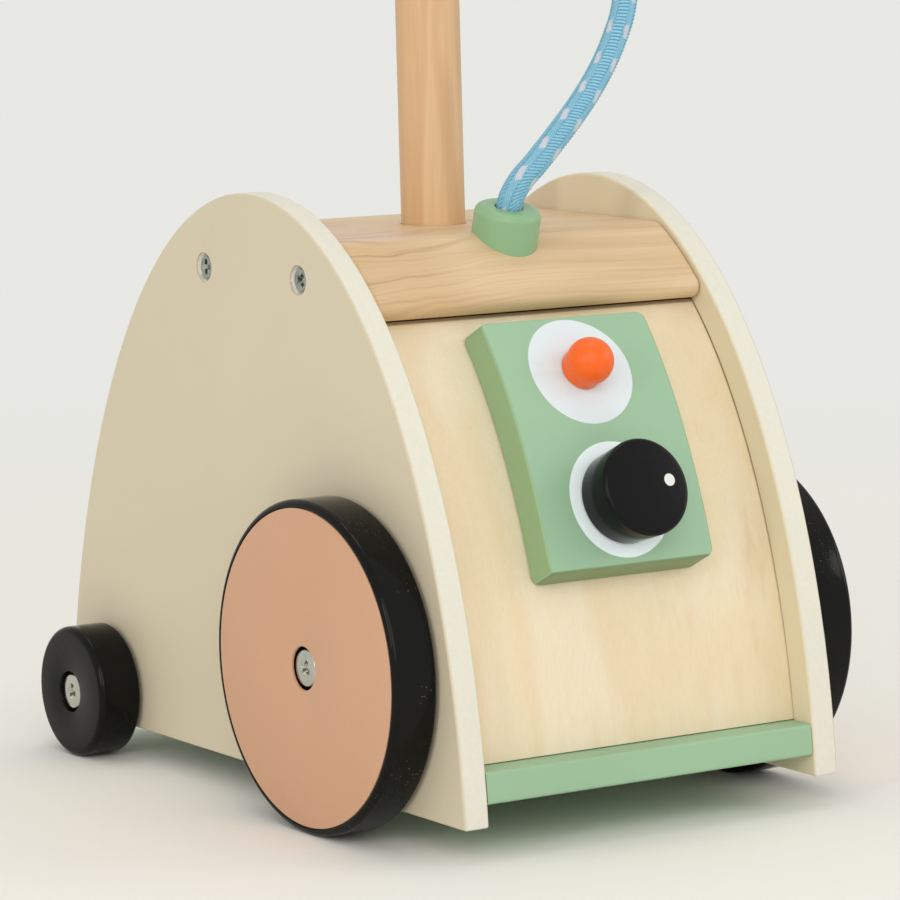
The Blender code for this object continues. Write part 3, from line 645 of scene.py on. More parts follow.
def stand_in(piece, body, slot, *replaced):
    """Puts a finished piece in the place of nodes of the frame."""
    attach(piece, body)
    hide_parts(*replaced)


def finish_flat(made, node, look, slot):
    """Shades a flat piece, gives it its finish and puts it in its node's place."""
    data = made.data
    data.materials.clear()
    data.materials.append(look)
    data.shade_smooth()
    data.set_sharp_from_angle(angle=FLAT_SHARP)
    weighted = made.modifiers.new("flat faces", "WEIGHTED_NORMAL")
    weighted.keep_sharp = True
    weighted.weight = 100
    apply_modifiers(made)
    stand_in(made, "body", slot, node)


def dressed(node, look, slot):
    data = nodes[node].data.copy()
    bm = bmesh.new()
    bm.from_mesh(data)
    bmesh.ops.remove_doubles(bm, verts=bm.verts, dist=SAME_POINT)
    bmesh.ops.dissolve_limit(bm, angle_limit=FLAT_ENOUGH, verts=bm.verts, edges=bm.edges)
    bm.to_mesh(data)
    bm.free()
    finish_flat(add_object(f"{node}_dressed", data), node, look, slot)


print(f"flat pieces turn sharp at {math.degrees(FLAT_SHARP):.0f} degrees")

# %% [markdown]
# ### The control plate's paint
#
# The plate has a white round under the button and one under the knob. Both are painted spots, centred on
# the pieces that stand on them. The plate's long sides and its lower end are painted darker than its face,
# as painted shade.

# %% The plate's paint
knob_joint = joints["knob_turn"]
knob_seat = Vector(knob_joint["pos_m"])
knob_axis = Vector(knob_joint["axis"])
ball_low, ball_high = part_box("ball_button")
BALL_RADIUS = (ball_high[0] - ball_low[0]) / 2
BALL_RISE = 0.0057
BALL_TILT = math.radians(57.14)
ball_x = (ball_low[0] + ball_high[0]) / 2
ball_centre = Vector((ball_x, ball_low[1] + BALL_RADIUS, ball_high[2] - BALL_RADIUS))
ball_axis = Vector((0, -math.sin(BALL_TILT), math.cos(BALL_TILT)))
ROUND_RADIUS = 0.0178
ROUND_WHITE = (0.71, 0.79, 0.82)
# Painted light: the round under the knob is a brighter white, against the knob's shadow on it.
KNOB_ROUND_WHITE_PAINTED_LIGHT = (0.85, 0.955, 0.965)
# Painted shade on the plate's sawn sides and its lower end.
PLATE_SIDE_SHADE = (0.275, 0.43, 0.225)
PLATE_END_SHADE = (0.195, 0.275, 0.125)
SIDE_BAND = (0.0009, 0.0005)
END_BAND = (0.0008, 0.0004)


def plate_sides_shade(place):
    """Mask of the plate's long sides, darkened as painted shade."""
    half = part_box("control_plate")[1][0]
    return place.axes()[0].size().near(half, SIDE_BAND)


def plate_end_shade(place):
    """Mask of the plate's lower end, which is square to its middle, darkened as painted shade."""
    square = (ball_axis + knob_axis).normalized()
    points = [vertex.co for vertex in nodes["control_plate"].data.vertices]
    end = max(point.z * square.y - point.y * square.z for point in points)
    _, y, z = place.axes()
    return (z * square.y - y * square.z).near(end, END_BAND)


# The knob's round carries painted light.
rounds = [(ball_centre, math.hypot(ROUND_RADIUS, BALL_RISE), ROUND_WHITE),
          (knob_seat, ROUND_RADIUS, KNOB_ROUND_WHITE_PAINTED_LIGHT)]
# The sides and the lower end of the plate take painted shade.
looks["plate"] = spotted("plate_paint", (0.32, 0.515, 0.335), (0.295, 0.48, 0.31), 0.40, rounds,
                         sides=((plate_sides_shade, PLATE_SIDE_SHADE), (plate_end_shade, PLATE_END_SHADE)))
print(f"plate paint: two rounds of {2000 * ROUND_RADIUS:.1f} mm")

# %% Dress the flat pieces
flat_pieces = {
    "side_panel_left": ("cream", "cream"), "side_panel_right": ("cream", "cream"),
    "base_board": ("sage", "sage"),
    "front_panel": ("ply", "ply"), "rear_panel": ("ply", "ply"),
    "control_plate": ("plate", "sage"), "push_rod": ("rod", "honey"), "crossbar": ("bar", "honey"),
}
for node, (look, slot) in flat_pieces.items():
    dressed(node, looks[look], slot)
print(f"dressed: {', '.join(flat_pieces)}")

# %% [markdown]
# ### The top block
#
# The block follows the arch of the side panels, and its lower edges are sanded to a full round, which
# catches the light above the thin dark joint. Its outline is an arc, the arch and an arc, drawn out between
# the panels, with eased ends and two holes: one for the rod and one for the rope's collar.

# %% The block's outline
ARCH_HALF_LENGTH = 0.1175
ARCH_RISE = 0.2058
ARCH_TOP = 0.1861
BLOCK_INSET = 0.0013
BLOCK_TOP_ROUND = 0.008
BLOCK_LOW_ROUND = 0.0035


def arc(centre, radius, start, end, steps=8):
    """Points of an arc between two angles in degrees."""
    turns = np.radians(np.linspace(start, end, steps + 1))
    return [(centre[0] + radius * math.cos(t), centre[1] + radius * math.sin(t)) for t in turns]


def arch_line(inset):
    """Points (y, z) of the front half of the panels' arch, moved in, and the angles of its normals."""
    turns = np.linspace(0.3, math.pi / 2, 400)
    normals = np.column_stack([-np.cos(turns) / ARCH_HALF_LENGTH, np.sin(turns) / ARCH_RISE])
    normals /= np.linalg.norm(normals, axis=1)[:, None]
    heights = ARCH_TOP + ARCH_RISE * (np.sin(turns) - 1)
    edge = np.column_stack([-ARCH_HALF_LENGTH * np.cos(turns), heights])
    return edge - inset * normals, np.degrees(np.arctan2(normals[:, 1], normals[:, 0]))


def arch_corner(level, radius):
    """Centre and turn of a round that joins the arch to a level below it (radius above 0) or above it."""
    line, turns = arch_line(BLOCK_INSET + abs(radius))
    height = level + radius
    y, turn = (float(np.interp(height, line[:, 1], values)) for values in (line[:, 0], turns))
    return (y, height), turn


def block_outline(low, high):
    low_centre, low_turn = arch_corner(low, BLOCK_LOW_ROUND)
    high_centre, high_turn = arch_corner(high, -BLOCK_TOP_ROUND)
    lower = arc(low_centre, BLOCK_LOW_ROUND, 270, low_turn, 12)
    upper = arc(high_centre, BLOCK_TOP_ROUND, high_turn, 90, 12)
    heights = np.linspace(lower[-1][1], upper[0][1], 24)[1:-1]
    line = arch_line(BLOCK_INSET)[0]
    front = lower + [(float(np.interp(h, line[:, 1], line[:, 0])), float(h)) for h in heights] + upper
    return front + [(-y, z) for y, z in reversed(front)]


print(f"arch: {2000 * ARCH_HALF_LENGTH:.0f} mm long, {1000 * ARCH_TOP:.1f} mm high")

# %% Plane and drill the block
BLOCK_LIFT = 0.0004
BLOCK_END_ROUND = 0.0014
BLOCK_CORNER = math.radians(50)
ROD_RADIUS = 0.010
ROD_LEAN = math.radians(1.75)
ROD_DEPTH = 0.017
COLLAR_TILT = math.radians(15)
COLLAR_HALF = 0.0091
HOLE_GAP = 0.0003
HOLE_SIDES = 96


def box_ends(node):
    """The low and the high corner of a node's box."""
    return [Vector(corner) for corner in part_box(node)]


rod_axis = Vector((0, math.sin(ROD_LEAN), math.cos(ROD_LEAN)))
collar_axis = Vector((0, -math.sin(COLLAR_TILT), math.cos(COLLAR_TILT)))
collar_low, collar_high = box_ends("rope_collar")
collar_centre = (collar_low + collar_high) / 2
collar_radius = (collar_high.x - collar_low.x) / 2


def turn_to(axis):
    """The turn that brings Z to an axis."""
    return Vector(axis).to_track_quat("Z", "Y").to_matrix().to_4x4()


def cut_away(target, tool):
    cut = target.modifiers.new(tool.name, "BOOLEAN")
    cut.object = tool
    cut.solver = "EXACT"


def close_rings(bm, first, second):
    """Closes two rings of points into a prism."""
    bm.faces.new(first)
    bm.faces.new(second)
    for corners in zip(first, first[1:] + first[:1], second[1:] + second[:1], second):
        bm.faces.new(corners)
    bmesh.ops.recalc_face_normals(bm, faces=bm.faces)


def drill(target, name, radius, low_end, axis, length):
    """Cuts a round hole that starts at its low end."""
    bm = bmesh.new()
    bmesh.ops.create_cone(bm, cap_ends=True, segments=HOLE_SIDES, radius1=radius, radius2=radius,
                          depth=length)
    place = Matrix.Translation(low_end + length / 2 * axis) @ turn_to(axis)
    bmesh.ops.transform(bm, matrix=place, verts=bm.verts)
    tool = add_object(name, close_mesh(bm, name))
    cut_away(target, tool)
    return tool


def build_block():
    low, high = box_ends("top_block")
    outline = block_outline(low.z + BLOCK_LIFT, high.z)
    bm = bmesh.new()
    ends = [[bm.verts.new((x, y + middle_y, z)) for y, z in outline] for x in (low.x, high.x)]
    close_rings(bm, *ends)
    block = add_object("top_block_planed", close_mesh(bm, "top_block_planed"))
    ease = block.modifiers.new("ends", "BEVEL")
    ease.width = BLOCK_END_ROUND
    ease.segments = 4
    ease.limit_method = "ANGLE"
    ease.angle_limit = BLOCK_CORNER
    rod_foot = Vector((0, middle_y, high.z)) - ROD_DEPTH * rod_axis
    collar_foot = collar_centre - (COLLAR_HALF + HOLE_GAP) * collar_axis
    tools = [drill(block, "rod_hole", ROD_RADIUS + HOLE_GAP, rod_foot, rod_axis, 2 * ROD_DEPTH),
             drill(block, "collar_hole", collar_radius + HOLE_GAP, collar_foot, collar_axis, 4 * COLLAR_HALF)]
    apply_modifiers(block)
    for tool in tools:
        bpy.data.objects.remove(tool)
    finish_flat(block, "top_block", looks["block"], "honey")
    print(f"top block: {len(block.data.polygons)} faces")


build_block()

# %% [markdown]
# ## Turned pieces
#
# Wheels, knob, ball and collar come off a lathe, so each is a profile turned round its axis. Turning them
# again here gives finer curves than the frame's: their radii and places still come from the frame's boxes
# and joints.

# %% A lathe
TURNED_SHARP = math.radians(35)
SEAM = 1e-7


def lathe(profile, steps, closed=False):
    """A bmesh of a profile of (radius, height), turned round Z."""
    bm = bmesh.new()
    points = [bm.verts.new((r, 0, z)) for r, z in profile]
    edges = [bm.edges.new(pair) for pair in zip(points, points[1:])]
    if closed:
        edges.append(bm.edges.new((points[-1], points[0])))
    bmesh.ops.spin(bm, geom=points + edges, cent=(0, 0, 0), axis=(0, 0, 1), angle=2 * math.pi,
                   steps=steps, use_merge=True)
    bmesh.ops.remove_doubles(bm, verts=bm.verts, dist=SEAM)
    bmesh.ops.recalc_face_normals(bm, faces=bm.faces)
    return bm


def turned(node, profile, seat, axis, look, body, slot, steps=96, closed=True):
    """Turns a profile round an axis that starts at seat, and puts it in the node's place."""
    bm = lathe(profile, steps, closed)
    bmesh.ops.transform(bm, matrix=Matrix.Translation(seat) @ turn_to(axis), verts=bm.verts)
    name = f"{node}_turned"
    data = close_mesh(bm, name)
    data.materials.append(look)
    data.shade_smooth()
    data.set_sharp_from_angle(angle=TURNED_SHARP)
    stand_in(add_object(name, data), body, slot, node)


print(f"turned pieces turn sharp at {math.degrees(TURNED_SHARP):.0f} degrees")

# %% [markdown]
# ### Wheels
#
# The big wheels are black with a peach disc let into the face, and a hub recess for the bolt's head. The
# small ones are plain black. The rims are eased by about two millimetres, which gives the bright line along
# the edge.

# %% Wheels
BORE = 0.0033
HUB_RADIUS = 0.0066
HUB_DEPTH = 0.0026
HUB_EASE = 0.0003
DISC_RADIUS = 0.0475
DISC_THICKNESS = 0.0008
DISC_GAP = 0.0003
DISC_EASE = 0.00015
RIM_EASE = 0.0002
FRONT_EASE = 0.002
REAR_EASE = 0.0022
INNER_EASE_SHARE = 0.7
WHEEL_STEPS = 128


def wheel_profile(radius, thickness, ease, disc):
    ease_in = INNER_EASE_SHARE * ease
    profile = [(BORE, 0)] + arc((radius - ease_in, ease_in), ease_in, -90, 0)
    profile += arc((radius - ease, thickness - ease), ease, 0, 90, 10)
    if disc:
        rim = DISC_RADIUS + DISC_GAP
        deep = thickness - DISC_THICKNESS - DISC_GAP
        profile += arc((rim + RIM_EASE, thickness - RIM_EASE), RIM_EASE, 90, 180, 3)
        profile += [(rim, deep), (HUB_RADIUS, deep)]
    else:
        profile += arc((HUB_RADIUS + HUB_EASE, thickness - HUB_EASE), HUB_EASE, 90, 180, 3)
    floor = thickness - HUB_DEPTH
    return profile + [(HUB_RADIUS, floor), (BORE, floor)]


def disc_profile(top):
    low_edge = top - DISC_THICKNESS
    profile = [(HUB_RADIUS, low_edge), (DISC_RADIUS, low_edge)]
    profile += arc((DISC_RADIUS - DISC_EASE, top - DISC_EASE), DISC_EASE, 0, 90, 3)
    return profile + arc((HUB_RADIUS + DISC_EASE, top - DISC_EASE), DISC_EASE, 90, 180, 3)


def build_wheel(end, side, ease, disc):
    wheel = f"{end}_wheel_{side}"
    low, high = box_ends(wheel)
    sign = 1 if side == "right" else -1
    radius, thickness = (high.z - low.z) / 2, high.x - low.x
    seat = (low + high) / 2 - Vector((sign * thickness / 2, 0, 0))
    axis = (sign, 0, 0)
    profile = wheel_profile(radius, thickness, ease, disc)
    turned(wheel, profile, seat, axis, looks["black"], wheel, "black", WHEEL_STEPS)
    if disc:
        face = f"{end}_wheel_face_{side}"
        turned(face, disc_profile(thickness), seat, axis, looks["peach"], wheel, "peach", WHEEL_STEPS)


for side in ("left", "right"):
    build_wheel("front", side, FRONT_EASE, True)
    build_wheel("rear", side, REAR_EASE, False)
print("wheels: two with discs, two plain")

# %% [markdown]
# ### Knob, ball and collar
#
# The knob is a short black cylinder with a white dot to show how far it is turned. The dot sits on its
# face, so it is one more painted spot, and it turns with the knob. The ball stands on a short neck. The
# collar is a thick ring with a well rounded top, leaning forward a little. It fills its hole in the block,
# and the rope comes out of its bore.

# %% Knob
KNOB_BLACK = ((0.007, 0.007, 0.0075), (0.006, 0.006, 0.0065))
KNOB_LENGTH = 0.0143
KNOB_FOOT = 0.014
KNOB_FOOT_EASE = 0.0006
KNOB_GAP = 0.0003
KNOB_EASE = 0.0014
KNOB_STEPS = 128
DOT_SIDEWAYS = 0.0083
DOT_UP = 0.0012
DOT_RADIUS = 0.0019
DOT_WHITE = (0.76, 0.77, 0.76)


def build_knob():
    low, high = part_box("knob")
    radius = (high[0] - low[0]) / 2
    up = Vector((1, 0, 0)).cross(knob_axis)
    up *= 1 if up.z > 0 else -1
    top = KNOB_GAP + KNOB_LENGTH
    dot = knob_seat + top * knob_axis + Vector((DOT_SIDEWAYS, 0, 0)) + DOT_UP * up
    look = spotted("knob_paint", *KNOB_BLACK, 0.08, [(dot, DOT_RADIUS, DOT_WHITE)], 0.12, 0.05)
    foot_round = (KNOB_FOOT - KNOB_FOOT_EASE, KNOB_GAP + KNOB_FOOT_EASE)
    profile = [(0, KNOB_GAP)] + arc(foot_round, KNOB_FOOT_EASE, -90, 0, 4)
    profile += arc((radius - KNOB_EASE, top - KNOB_EASE), KNOB_EASE, 0, 90, 10) + [(0, top)]
    turned("knob", profile, knob_seat, knob_axis, look, "knob", "black", KNOB_STEPS, False)
    print(f"knob: {2000 * radius:.1f} mm across")


build_knob()

# %% Ball and collar
BALL_NECK = 0.0066
COLLAR_BORE = 0.0042
COLLAR_BORE_EASE = 0.0006
COLLAR_EASE = 0.0026
COLLAR_FILL = 0.00025


def build_ball():
    foot = KNOB_GAP - BALL_RISE
    neck_turn = -math.degrees(math.acos(BALL_NECK / BALL_RADIUS))
    profile = [(0, foot), (BALL_NECK, foot)] + arc((0, 0), BALL_RADIUS, neck_turn, 90, 40)
    profile[-1] = (0, BALL_RADIUS)
    turned("ball_button", profile, ball_centre, ball_axis, looks["orange"], "body", "orange", closed=False)


def build_collar():
    radius = collar_radius + COLLAR_FILL
    top, ease = COLLAR_HALF, COLLAR_EASE
    bore_round = (COLLAR_BORE + COLLAR_BORE_EASE, top - COLLAR_BORE_EASE)
    profile = [(COLLAR_BORE, -top), (radius, -top)] + arc((radius - ease, top - ease), ease, 0, 90)
    profile += arc(bore_round, COLLAR_BORE_EASE, 90, 180, 4)
    turned("rope_collar", profile, collar_centre, collar_axis, looks["collar"], "body", "sage")


build_ball()
build_collar()
print(f"ball of {2000 * BALL_RADIUS:.1f} mm, collar of {2000 * collar_radius:.1f} mm")

# %% [markdown]
# ## Screws
#
# Screws are the same piece many times over, which is what instances are for. One chamfered head with a
# tapered cross is made for each size, and a Geometry Nodes tree sets it on a point for every screw, turned
# outwards and spun to a chance angle, as a screwdriver leaves it. Realizing the instances turns them into a
# plain mesh.

# %% A screw's form
HEAD_PROFILE = ((1, 0), (1, 0.3), (0.985, 0.4), (0.87, 0.9), (0.84, 0.96), (0.55, 1), (0, 1))
CROSS_LEVELS = ((0.25, 0.45), (1.3, 1.0))
QUARTERS = ((1, 0), (0, 1), (-1, 0), (0, -1))
SCREW_STEPS = 40
SCREW_SHARP = math.radians(32)


def cross_form(height, span, slot):
    """A bmesh of a cross that narrows downwards, to cut a recess with."""
    cross = bmesh.new()
    rings = []
    for level, share in CROSS_LEVELS:
        reach, side = span * share, slot * (0.5 + 0.5 * share)
        corners = ((side, -side), (reach, -side), (reach, side))
        rings.append([cross.verts.new((u * c - v * s, u * s + v * c, level * height))
                      for c, s in QUARTERS for u, v in corners])
    close_rings(cross, *rings)
    return cross


def screw_form(name, radius, height, shank, length, span, slot):
    """A chamfered head with a cross recess, on a plain shank that runs down from 0."""
    profile = [(0, -length), (0.4 * shank, -length), (shank, -length + 2 * shank), (shank, 0)]
    profile += [(radius * across, height * up) for across, up in HEAD_PROFILE]
    form = add_object(name, close_mesh(lathe(profile, SCREW_STEPS), name))
    cross = add_object(f"{name}_cross", close_mesh(cross_form(height, span, slot), f"{name}_cross"))
    cut_away(form, cross)
    apply_modifiers(form)
    bpy.data.objects.remove(cross)
    form.data.shade_smooth()
    form.data.set_sharp_from_angle(angle=SCREW_SHARP)
    return form


print(f"screw heads have {SCREW_STEPS} sides")

# %% [markdown]
# ### Setting the screws
#
# Each screw could be copied to its place in a loop. Here a mesh of bare points holds the places, with the
# way out as an attribute on each point, and the tree reads both: one more screw is only one more point.

# %% A tree that sets screws on points
def new_tree(name, inputs):
    """A Geometry Nodes tree with named inputs, the wires of those inputs and their identifiers."""
    tree = bpy.data.node_groups.new(name, "GeometryNodeTree")
    tree.interface.new_socket("Geometry", in_out="OUTPUT", socket_type="NodeSocketGeometry")
    names = {}
    for socket, kind in {"Geometry": "NodeSocketGeometry", **inputs}.items():
        made = tree.interface.new_socket(socket, in_out="INPUT", socket_type=kind)
        names[socket] = made.identifier
    group = tree.nodes.new("NodeGroupInput")
    return tree, {socket: Wire(group.outputs[socket]) for socket in names}, names


def end_tree(tree, geometry, finish):
    """Ends a tree with real geometry in its finish."""
    real = geometry.node("GeometryNodeRealizeInstances", None, {0: geometry})
    coated = real.node("GeometryNodeSetMaterial", None, {"Geometry": real, "Material": finish})
    tree.links.new(coated.socket, tree.nodes.new("NodeGroupOutput").inputs[0])


def add_tree(made, tree, names, values):
    """Puts a tree on an object, with its inputs set by their identifiers."""
    modifier = made.modifiers.new(tree.name, "NODES")
    modifier.node_group = tree
    for name, value in values.items():
        modifier[names[name]] = value


def screw_tree():
    inputs = {"Screw": "NodeSocketObject", "Seed": "NodeSocketInt", "Finish": "NodeSocketMaterial"}
    tree, wires, names = new_tree("screws_on_points", inputs)
    screw, seed, seats = (wires[name] for name in ("Screw", "Seed", "Geometry"))
    form = screw.node("GeometryNodeObjectInfo", None, {"Object": screw}, "Geometry")
    outward = seats.node("GeometryNodeInputNamedAttribute", {"data_type": "FLOAT_VECTOR"},
                         {"Name": "outward"})
    face = outward.node("FunctionNodeAlignRotationToVector", {"axis": "Z"}, {"Vector": outward})
    spin = seed.node("FunctionNodeRandomValue", {"data_type": "FLOAT"},
                     {2: 0.0, 3: math.pi / 2, "Seed": seed}, 1)
    about = spin.node("ShaderNodeCombineXYZ", None, {2: spin})
    spun = about.node("FunctionNodeEulerToRotation", None, {0: about})
    both = face.node("FunctionNodeRotateRotation", {"rotation_space": "LOCAL"}, {0: face, 1: spun})
    points = seats.node("GeometryNodeMeshToPoints", None, {"Mesh": seats})
    placed = points.node("GeometryNodeInstanceOnPoints", None,
                         {"Points": points, "Instance": form, "Rotation": both})
    end_tree(tree, placed, wires["Finish"])
    return tree, names


screws = screw_tree()
print(f"screw tree: {len(screws[0].nodes)} nodes")

# %% Drive the screws
HEAD_HEIGHT = 0.002
SUNK = 0.0003
BOLT = {"radius": 0.0062, "shank": 0.0019, "length": 0.037, "span": 0.0031, "slot": 0.0009}
PANEL_SCREW = {"radius": 0.0039, "shank": 0.0018, "length": 0.030, "span": 0.0029, "slot": 0.0008}


def outer_seats(names):
    """Where the underside of each head is, and which way it looks, from the boxes of the frame's screws."""
    seats = []
    for node in names:
        low, high = box_ends(node)
        sign = 1 if "right" in node else -1
        centre = (low + high) / 2
        outside = high.x if sign > 0 else low.x
        seats.append((Vector((outside - sign * (HEAD_HEIGHT + SUNK), centre.y, centre.z)), (sign, 0, 0)))
    return seats


def drive_screws(name, sizes, look, seed, replaced):
    """Sets a screw on the seat of each screw that it replaces."""
    seats = outer_seats(replaced)
    data = bpy.data.meshes.new(name)
    data.from_pydata([tuple(point) for point, _ in seats], [], [])
    outward = data.attributes.new("outward", "FLOAT_VECTOR", "POINT")
    for item, (_, direction) in zip(outward.data, seats):
        item.vector = direction
    made = add_object(name, data)
    form = screw_form(f"{name}_form", height=HEAD_HEIGHT, **sizes)
    add_tree(made, *screws, {"Screw": form, "Seed": seed, "Finish": looks[look]})
    apply_modifiers(made)
    bpy.data.objects.remove(form)
    stand_in(made, "body", "zinc", *replaced)
    print(f"{name}: {len(seats)} screws, {len(made.data.polygons)} faces")


bolts = [f"{end}_bolt_{side}" for end in ("front", "rear") for side in ("left", "right")]
panel_screws = [f"panel_screw_{side}_{end}" for side in ("left", "right") for end in ("front", "rear")]
drive_screws("wheel_bolts", BOLT, "zinc", 4, bolts)
drive_screws("panel_screws", PANEL_SCREW, "steel", 9, panel_screws)

# %% [markdown]
# ## Rope
#
# The hose is a braided cord, light blue with pale flecks, that bends up out of its collar and runs to the
# crossbar. Its route is a few listed points, with a smooth curve through them.

# %% The rope's route
ROUTE_SPACING = 0.002
ROUTE_STEPS = 24
ROPE_ROUTE = [
    (0.0, -0.0379, 0.1662),
    (0.0, -0.0396, 0.1727),
    (0.0, -0.0417, 0.1806),
    (0.0004, -0.0426, 0.1840),
    (0.0032, -0.0436, 0.1890),
    (0.0084, -0.0440, 0.1939),
    (0.0182, -0.0432, 0.2030),
    (0.0283, -0.0412, 0.2123),
    (0.0368, -0.0392, 0.2217),
    (0.0434, -0.0372, 0.2311),
    (0.0484, -0.0350, 0.2408),
    (0.0546, -0.0300, 0.2620),
    (0.0590, -0.0230, 0.2920),
    (0.0616, -0.0140, 0.3360),
    (0.0626, -0.0040, 0.3900),
    (0.0628, 0.0040, 0.4380),
    (0.0628, 0.0082, 0.4640),
    (0.0628, 0.0090, 0.4770),
    (0.0628, 0.0093, 0.4850),
]


def smooth_route(route, spacing):
    """Points at an even spacing on a smooth curve through the route's points, and the curve's length."""
    fine = []
    ends = [2 * np.array(route[0]) - route[1], *map(np.array, route), 2 * np.array(route[-1]) - route[-2]]
    for a, b, c, d in zip(ends, ends[1:], ends[2:], ends[3:]):
        for t in np.linspace(0, 1, ROUTE_STEPS, endpoint=False):
            fine.append(0.5 * (2 * b + (c - a) * t + (2 * a - 5 * b + 4 * c - d) * t**2
                               + (3 * b - 3 * c + d - a) * t**3))
    fine.append(ends[-2])
    fine = np.array(fine)
    gone = np.concatenate([[0], np.cumsum(np.linalg.norm(np.diff(fine, axis=0), axis=1))])
    wanted = np.linspace(0, gone[-1], round(gone[-1] / spacing) + 1)
    return np.column_stack([np.interp(wanted, gone, fine[:, k]) for k in range(3)]), float(gone[-1])


rope_path, rope_length = smooth_route(ROPE_ROUTE, ROUTE_SPACING)
rope_path[:, 1] += middle_y
print(f"rope: {1000 * rope_length:.0f} mm on {len(rope_path)} points")

# %% [markdown]
# ### The braid
#
# A braid could be woven strand by strand, but what shows is its surface: four smooth columns with a pale
# fleck every few millimetres, and between them four columns of short ribs. A Geometry Nodes tree sweeps a
# circle along the route, works the pattern out from the length run and the turn round the cord, and raises
# it. The pattern stays on the mesh as attributes, which the finish uses.

# %% The braid's tree
ROPE_RADIUS = 0.004
ROPE_SIDES = 48
RIB_PITCH = 0.00118
RIB_HEIGHT = 0.00042
STEPS_PER_RIB = 6
COLUMNS = 4
FIRST_COLUMN = 0.08
COLUMN_TWIST = 1.46
COLUMN_EDGE = (0.00125, 0.0016)
SEAM_PLACE = 0.00142
SEAM_WIDTH = 0.0004
RIB_SLANT = 1.08
RIB_SLANT_FALL = 9.7
RIB_SLANT_RANGE = (0.1, 0.85)
FLECK_PITCH = 0.01185
FIRST_FLECK = 0.0253
FLECK_LEAN = 0.27
FLECK_END_LEAN = 0.78
FLECK_SIDE = (0.0012, 0.0008)
FLECK_END = (0.0028, 0.0021)


def centred(wire):
    """Distance from the nearest whole number, from -0.5 to 0.5."""
    return (wire + 0.5).fraction() - 0.5


def braid_pattern(run, turn, radius, pitch, fleck_pitch):
    """Wires of the height, the flecks, the way across a column and the ribs, by the place on the cord."""
    column = (turn - FIRST_COLUMN + (run - FIRST_FLECK) * COLUMN_TWIST) * COLUMNS
    sector = radius * (2 * math.pi / COLUMNS)
    across = centred(column) * sector
    beside = (column.fraction() - 0.5) * sector
    slant = (RIB_SLANT - run * RIB_SLANT_FALL).larger(RIB_SLANT_RANGE[0]).smaller(RIB_SLANT_RANGE[1])
    rib = (((run - slant * beside) / pitch) * math.pi).sine().size()
    in_ribs = across.size().step(*COLUMN_EDGE)
    seam = (across.size() - SEAM_PLACE).size().step(0.0, SEAM_WIDTH) * 0.4 + 0.6
    height = (in_ribs * rib + (1.0 - in_ribs) * 0.85) * seam
    along = centred((run - FIRST_FLECK) / fleck_pitch) * fleck_pitch
    fleck_side = (across + along * FLECK_LEAN).size().step(*FLECK_SIDE)
    fleck_end = (along - across * FLECK_END_LEAN).size().step(*FLECK_END)
    return {"height": height, "fleck": fleck_side * fleck_end, "across": across, "in_ribs": in_ribs}


def braid_tree():
    sizes = ("Radius", "Step", "Rib pitch", "Rib height", "Fleck pitch")
    inputs = {**dict.fromkeys(sizes, "NodeSocketFloat"), "Finish": "NodeSocketMaterial"}
    tree, wires, names = new_tree("rope_braid", inputs)
    radius, step, pitch, rib_height, fleck_pitch = (wires[name] for name in sizes)

    def store(geometry, name, value):
        return geometry.node("GeometryNodeStoreNamedAttribute", {"data_type": "FLOAT", "domain": "POINT"},
                             {"Geometry": geometry, "Name": name, "Value": value})

    def read(name):
        return radius.node("GeometryNodeInputNamedAttribute", {"data_type": "FLOAT"}, {"Name": name})

    line = step.node("GeometryNodeResampleCurve", {"mode": "LENGTH"},
                     {"Curve": wires["Geometry"], "Length": step})
    line = store(line, "run", line.node("GeometryNodeSplineParameter", out="Length"))
    ring = radius.node("GeometryNodeCurvePrimitiveCircle", None,
                       {"Resolution": ROPE_SIDES, "Radius": radius})
    x, y, _ = ring.node("GeometryNodeInputPosition").axes()
    ring = store(ring, "turn_cos", x / radius)
    ring = store(ring, "turn_sin", y / radius)
    tube = line.node("GeometryNodeCurveToMesh", None,
                     {"Curve": line, "Profile Curve": ring, "Fill Caps": True})

    run = read("run")
    turn = run.maths("ARCTAN2", read("turn_sin"), read("turn_cos")) / (2 * math.pi)
    for name, value in braid_pattern(run, turn, radius, pitch, fleck_pitch).items():
        tube = store(tube, name, value)
    sunk = (read("height") - 1.0) * rib_height
    normal = tube.node("GeometryNodeInputNormal")
    push = normal.node("ShaderNodeVectorMath", {"operation": "SCALE"}, {0: normal, "Scale": sunk})
    shaped = tube.node("GeometryNodeSetPosition", None, {"Geometry": tube, "Offset": push})
    end_tree(tree, shaped, wires["Finish"])
    return tree, names


braid = braid_tree()
print(f"braid tree: {len(braid[0].nodes)} nodes")

# %% [markdown]
# ### Yarn
#
# The yarn is pale on the flecks, with painted shade down between the ribs and between the fine strands
# along the smooth columns, and a little fuzz everywhere. A pattern on Object coordinates wouldn't follow the
# bends, so the finish reads the attributes that the tree left on the mesh.

# %% Braid the rope
SHADED_BLUE = (0.05, 0.23, 0.40)
LIT_BLUE = (0.30, 0.61, 0.75)
SHADED_FLECK = (0.42, 0.42, 0.50)
LIT_FLECK = (0.84, 0.78, 0.80)
FUZZ_SCALE = 1500
STRAND_PITCH = 0.00055
FLECK_COVER = 0.75
YARN_ROUGHNESS = 0.62
YARN_BUMP = 0.0002


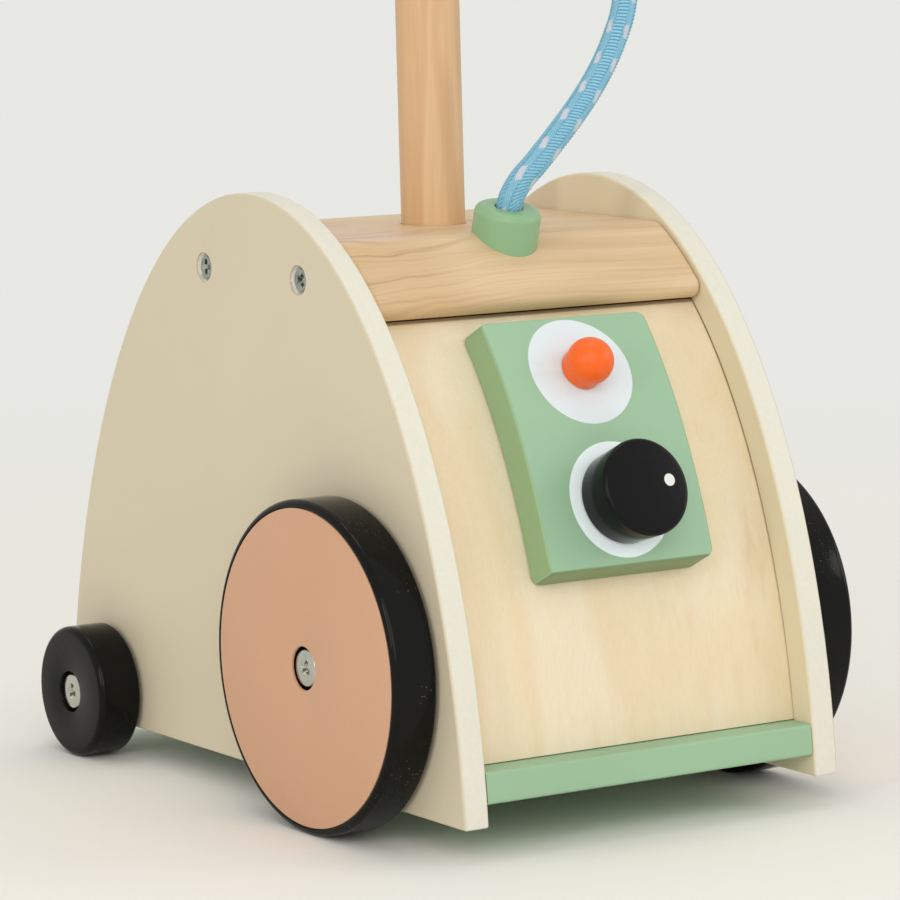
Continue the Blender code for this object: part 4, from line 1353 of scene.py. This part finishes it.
def rope_yarn(name):
    """Blue yarn with painted shade down between the ribs, pale flecks and fine strands along the smooth columns.
    """
    look, shader, place = new_look(name)

    def read(attribute):
        return place.node("ShaderNodeAttribute", {"attribute_name": attribute}, out="Fac")

    height, in_ribs = read("height"), read("in_ribs")
    fuzz = place.noise(FUZZ_SCALE, 3, 0.6)
    strand = (((read("across") + read("run") * FLECK_LEAN) / STRAND_PITCH) * math.pi).sine().size()
    # Painted shade: the colour darkens with the braid's height, down between ribs and strands.
    lit = height * (in_ribs + (1.0 - in_ribs) * (strand * 0.6 + 0.4))
    depth = (lit * 0.75 + fuzz * 0.35).step(0.1, 1.05)
    blue = depth.tint(SHADED_BLUE, LIT_BLUE)
    pale = depth.tint(SHADED_FLECK, LIT_FLECK)
    colour = (read("fleck") * FLECK_COVER).tint(blue, pale)
    raised = fuzz + strand * (1.0 - in_ribs) * 0.6
    finish_look(shader, colour, fuzz * 0.2 + YARN_ROUGHNESS, raised, 0.6, YARN_BUMP)
    return look


def build_rope():
    line = bpy.data.curves.new("rope_line", "CURVE")
    line.dimensions = "3D"
    spline = line.splines.new("POLY")
    spline.points.add(len(rope_path) - 1)
    for point, place in zip(spline.points, rope_path):
        point.co = (*place, 1)
    source = add_object("rope_line", line)
    values = {"Radius": ROPE_RADIUS, "Step": RIB_PITCH / STEPS_PER_RIB, "Rib pitch": RIB_PITCH,
              "Rib height": RIB_HEIGHT, "Fleck pitch": FLECK_PITCH, "Finish": rope_yarn("blue_yarn")}
    add_tree(source, *braid, values)
    data = evaluated_mesh(source)
    bpy.data.objects.remove(source)
    data.shade_smooth()
    rope = add_object("braided_rope", data)
    stand_in(rope, "body", "rope", "rope")
    print(f"braided rope: {len(data.polygons)} faces")


build_rope()

# %% [markdown]
# ## What stays from the frame
#
# The axle rail, the washers and what holds the knob from behind hardly show. They keep the frame's meshes,
# and take the same woods and zinc as the rest.

# %% Finish the pieces that stay
kept = {"front_axle_rail": "ply", "knob_shaft": "ply", "knob_washer": "zinc", "knob_screw": "zinc"}
kept.update({f"{end}_washer_{side}": "zinc" for end in ("front", "rear") for side in ("left", "right")})
for node, look in kept.items():
    materials = nodes[node].data.materials
    materials.clear()
    materials.append(looks[look])
print(f"kept from the frame: {len(kept)} nodes")

# %% [markdown]
# ## End

# %% Finish
print("the toy is dressed")
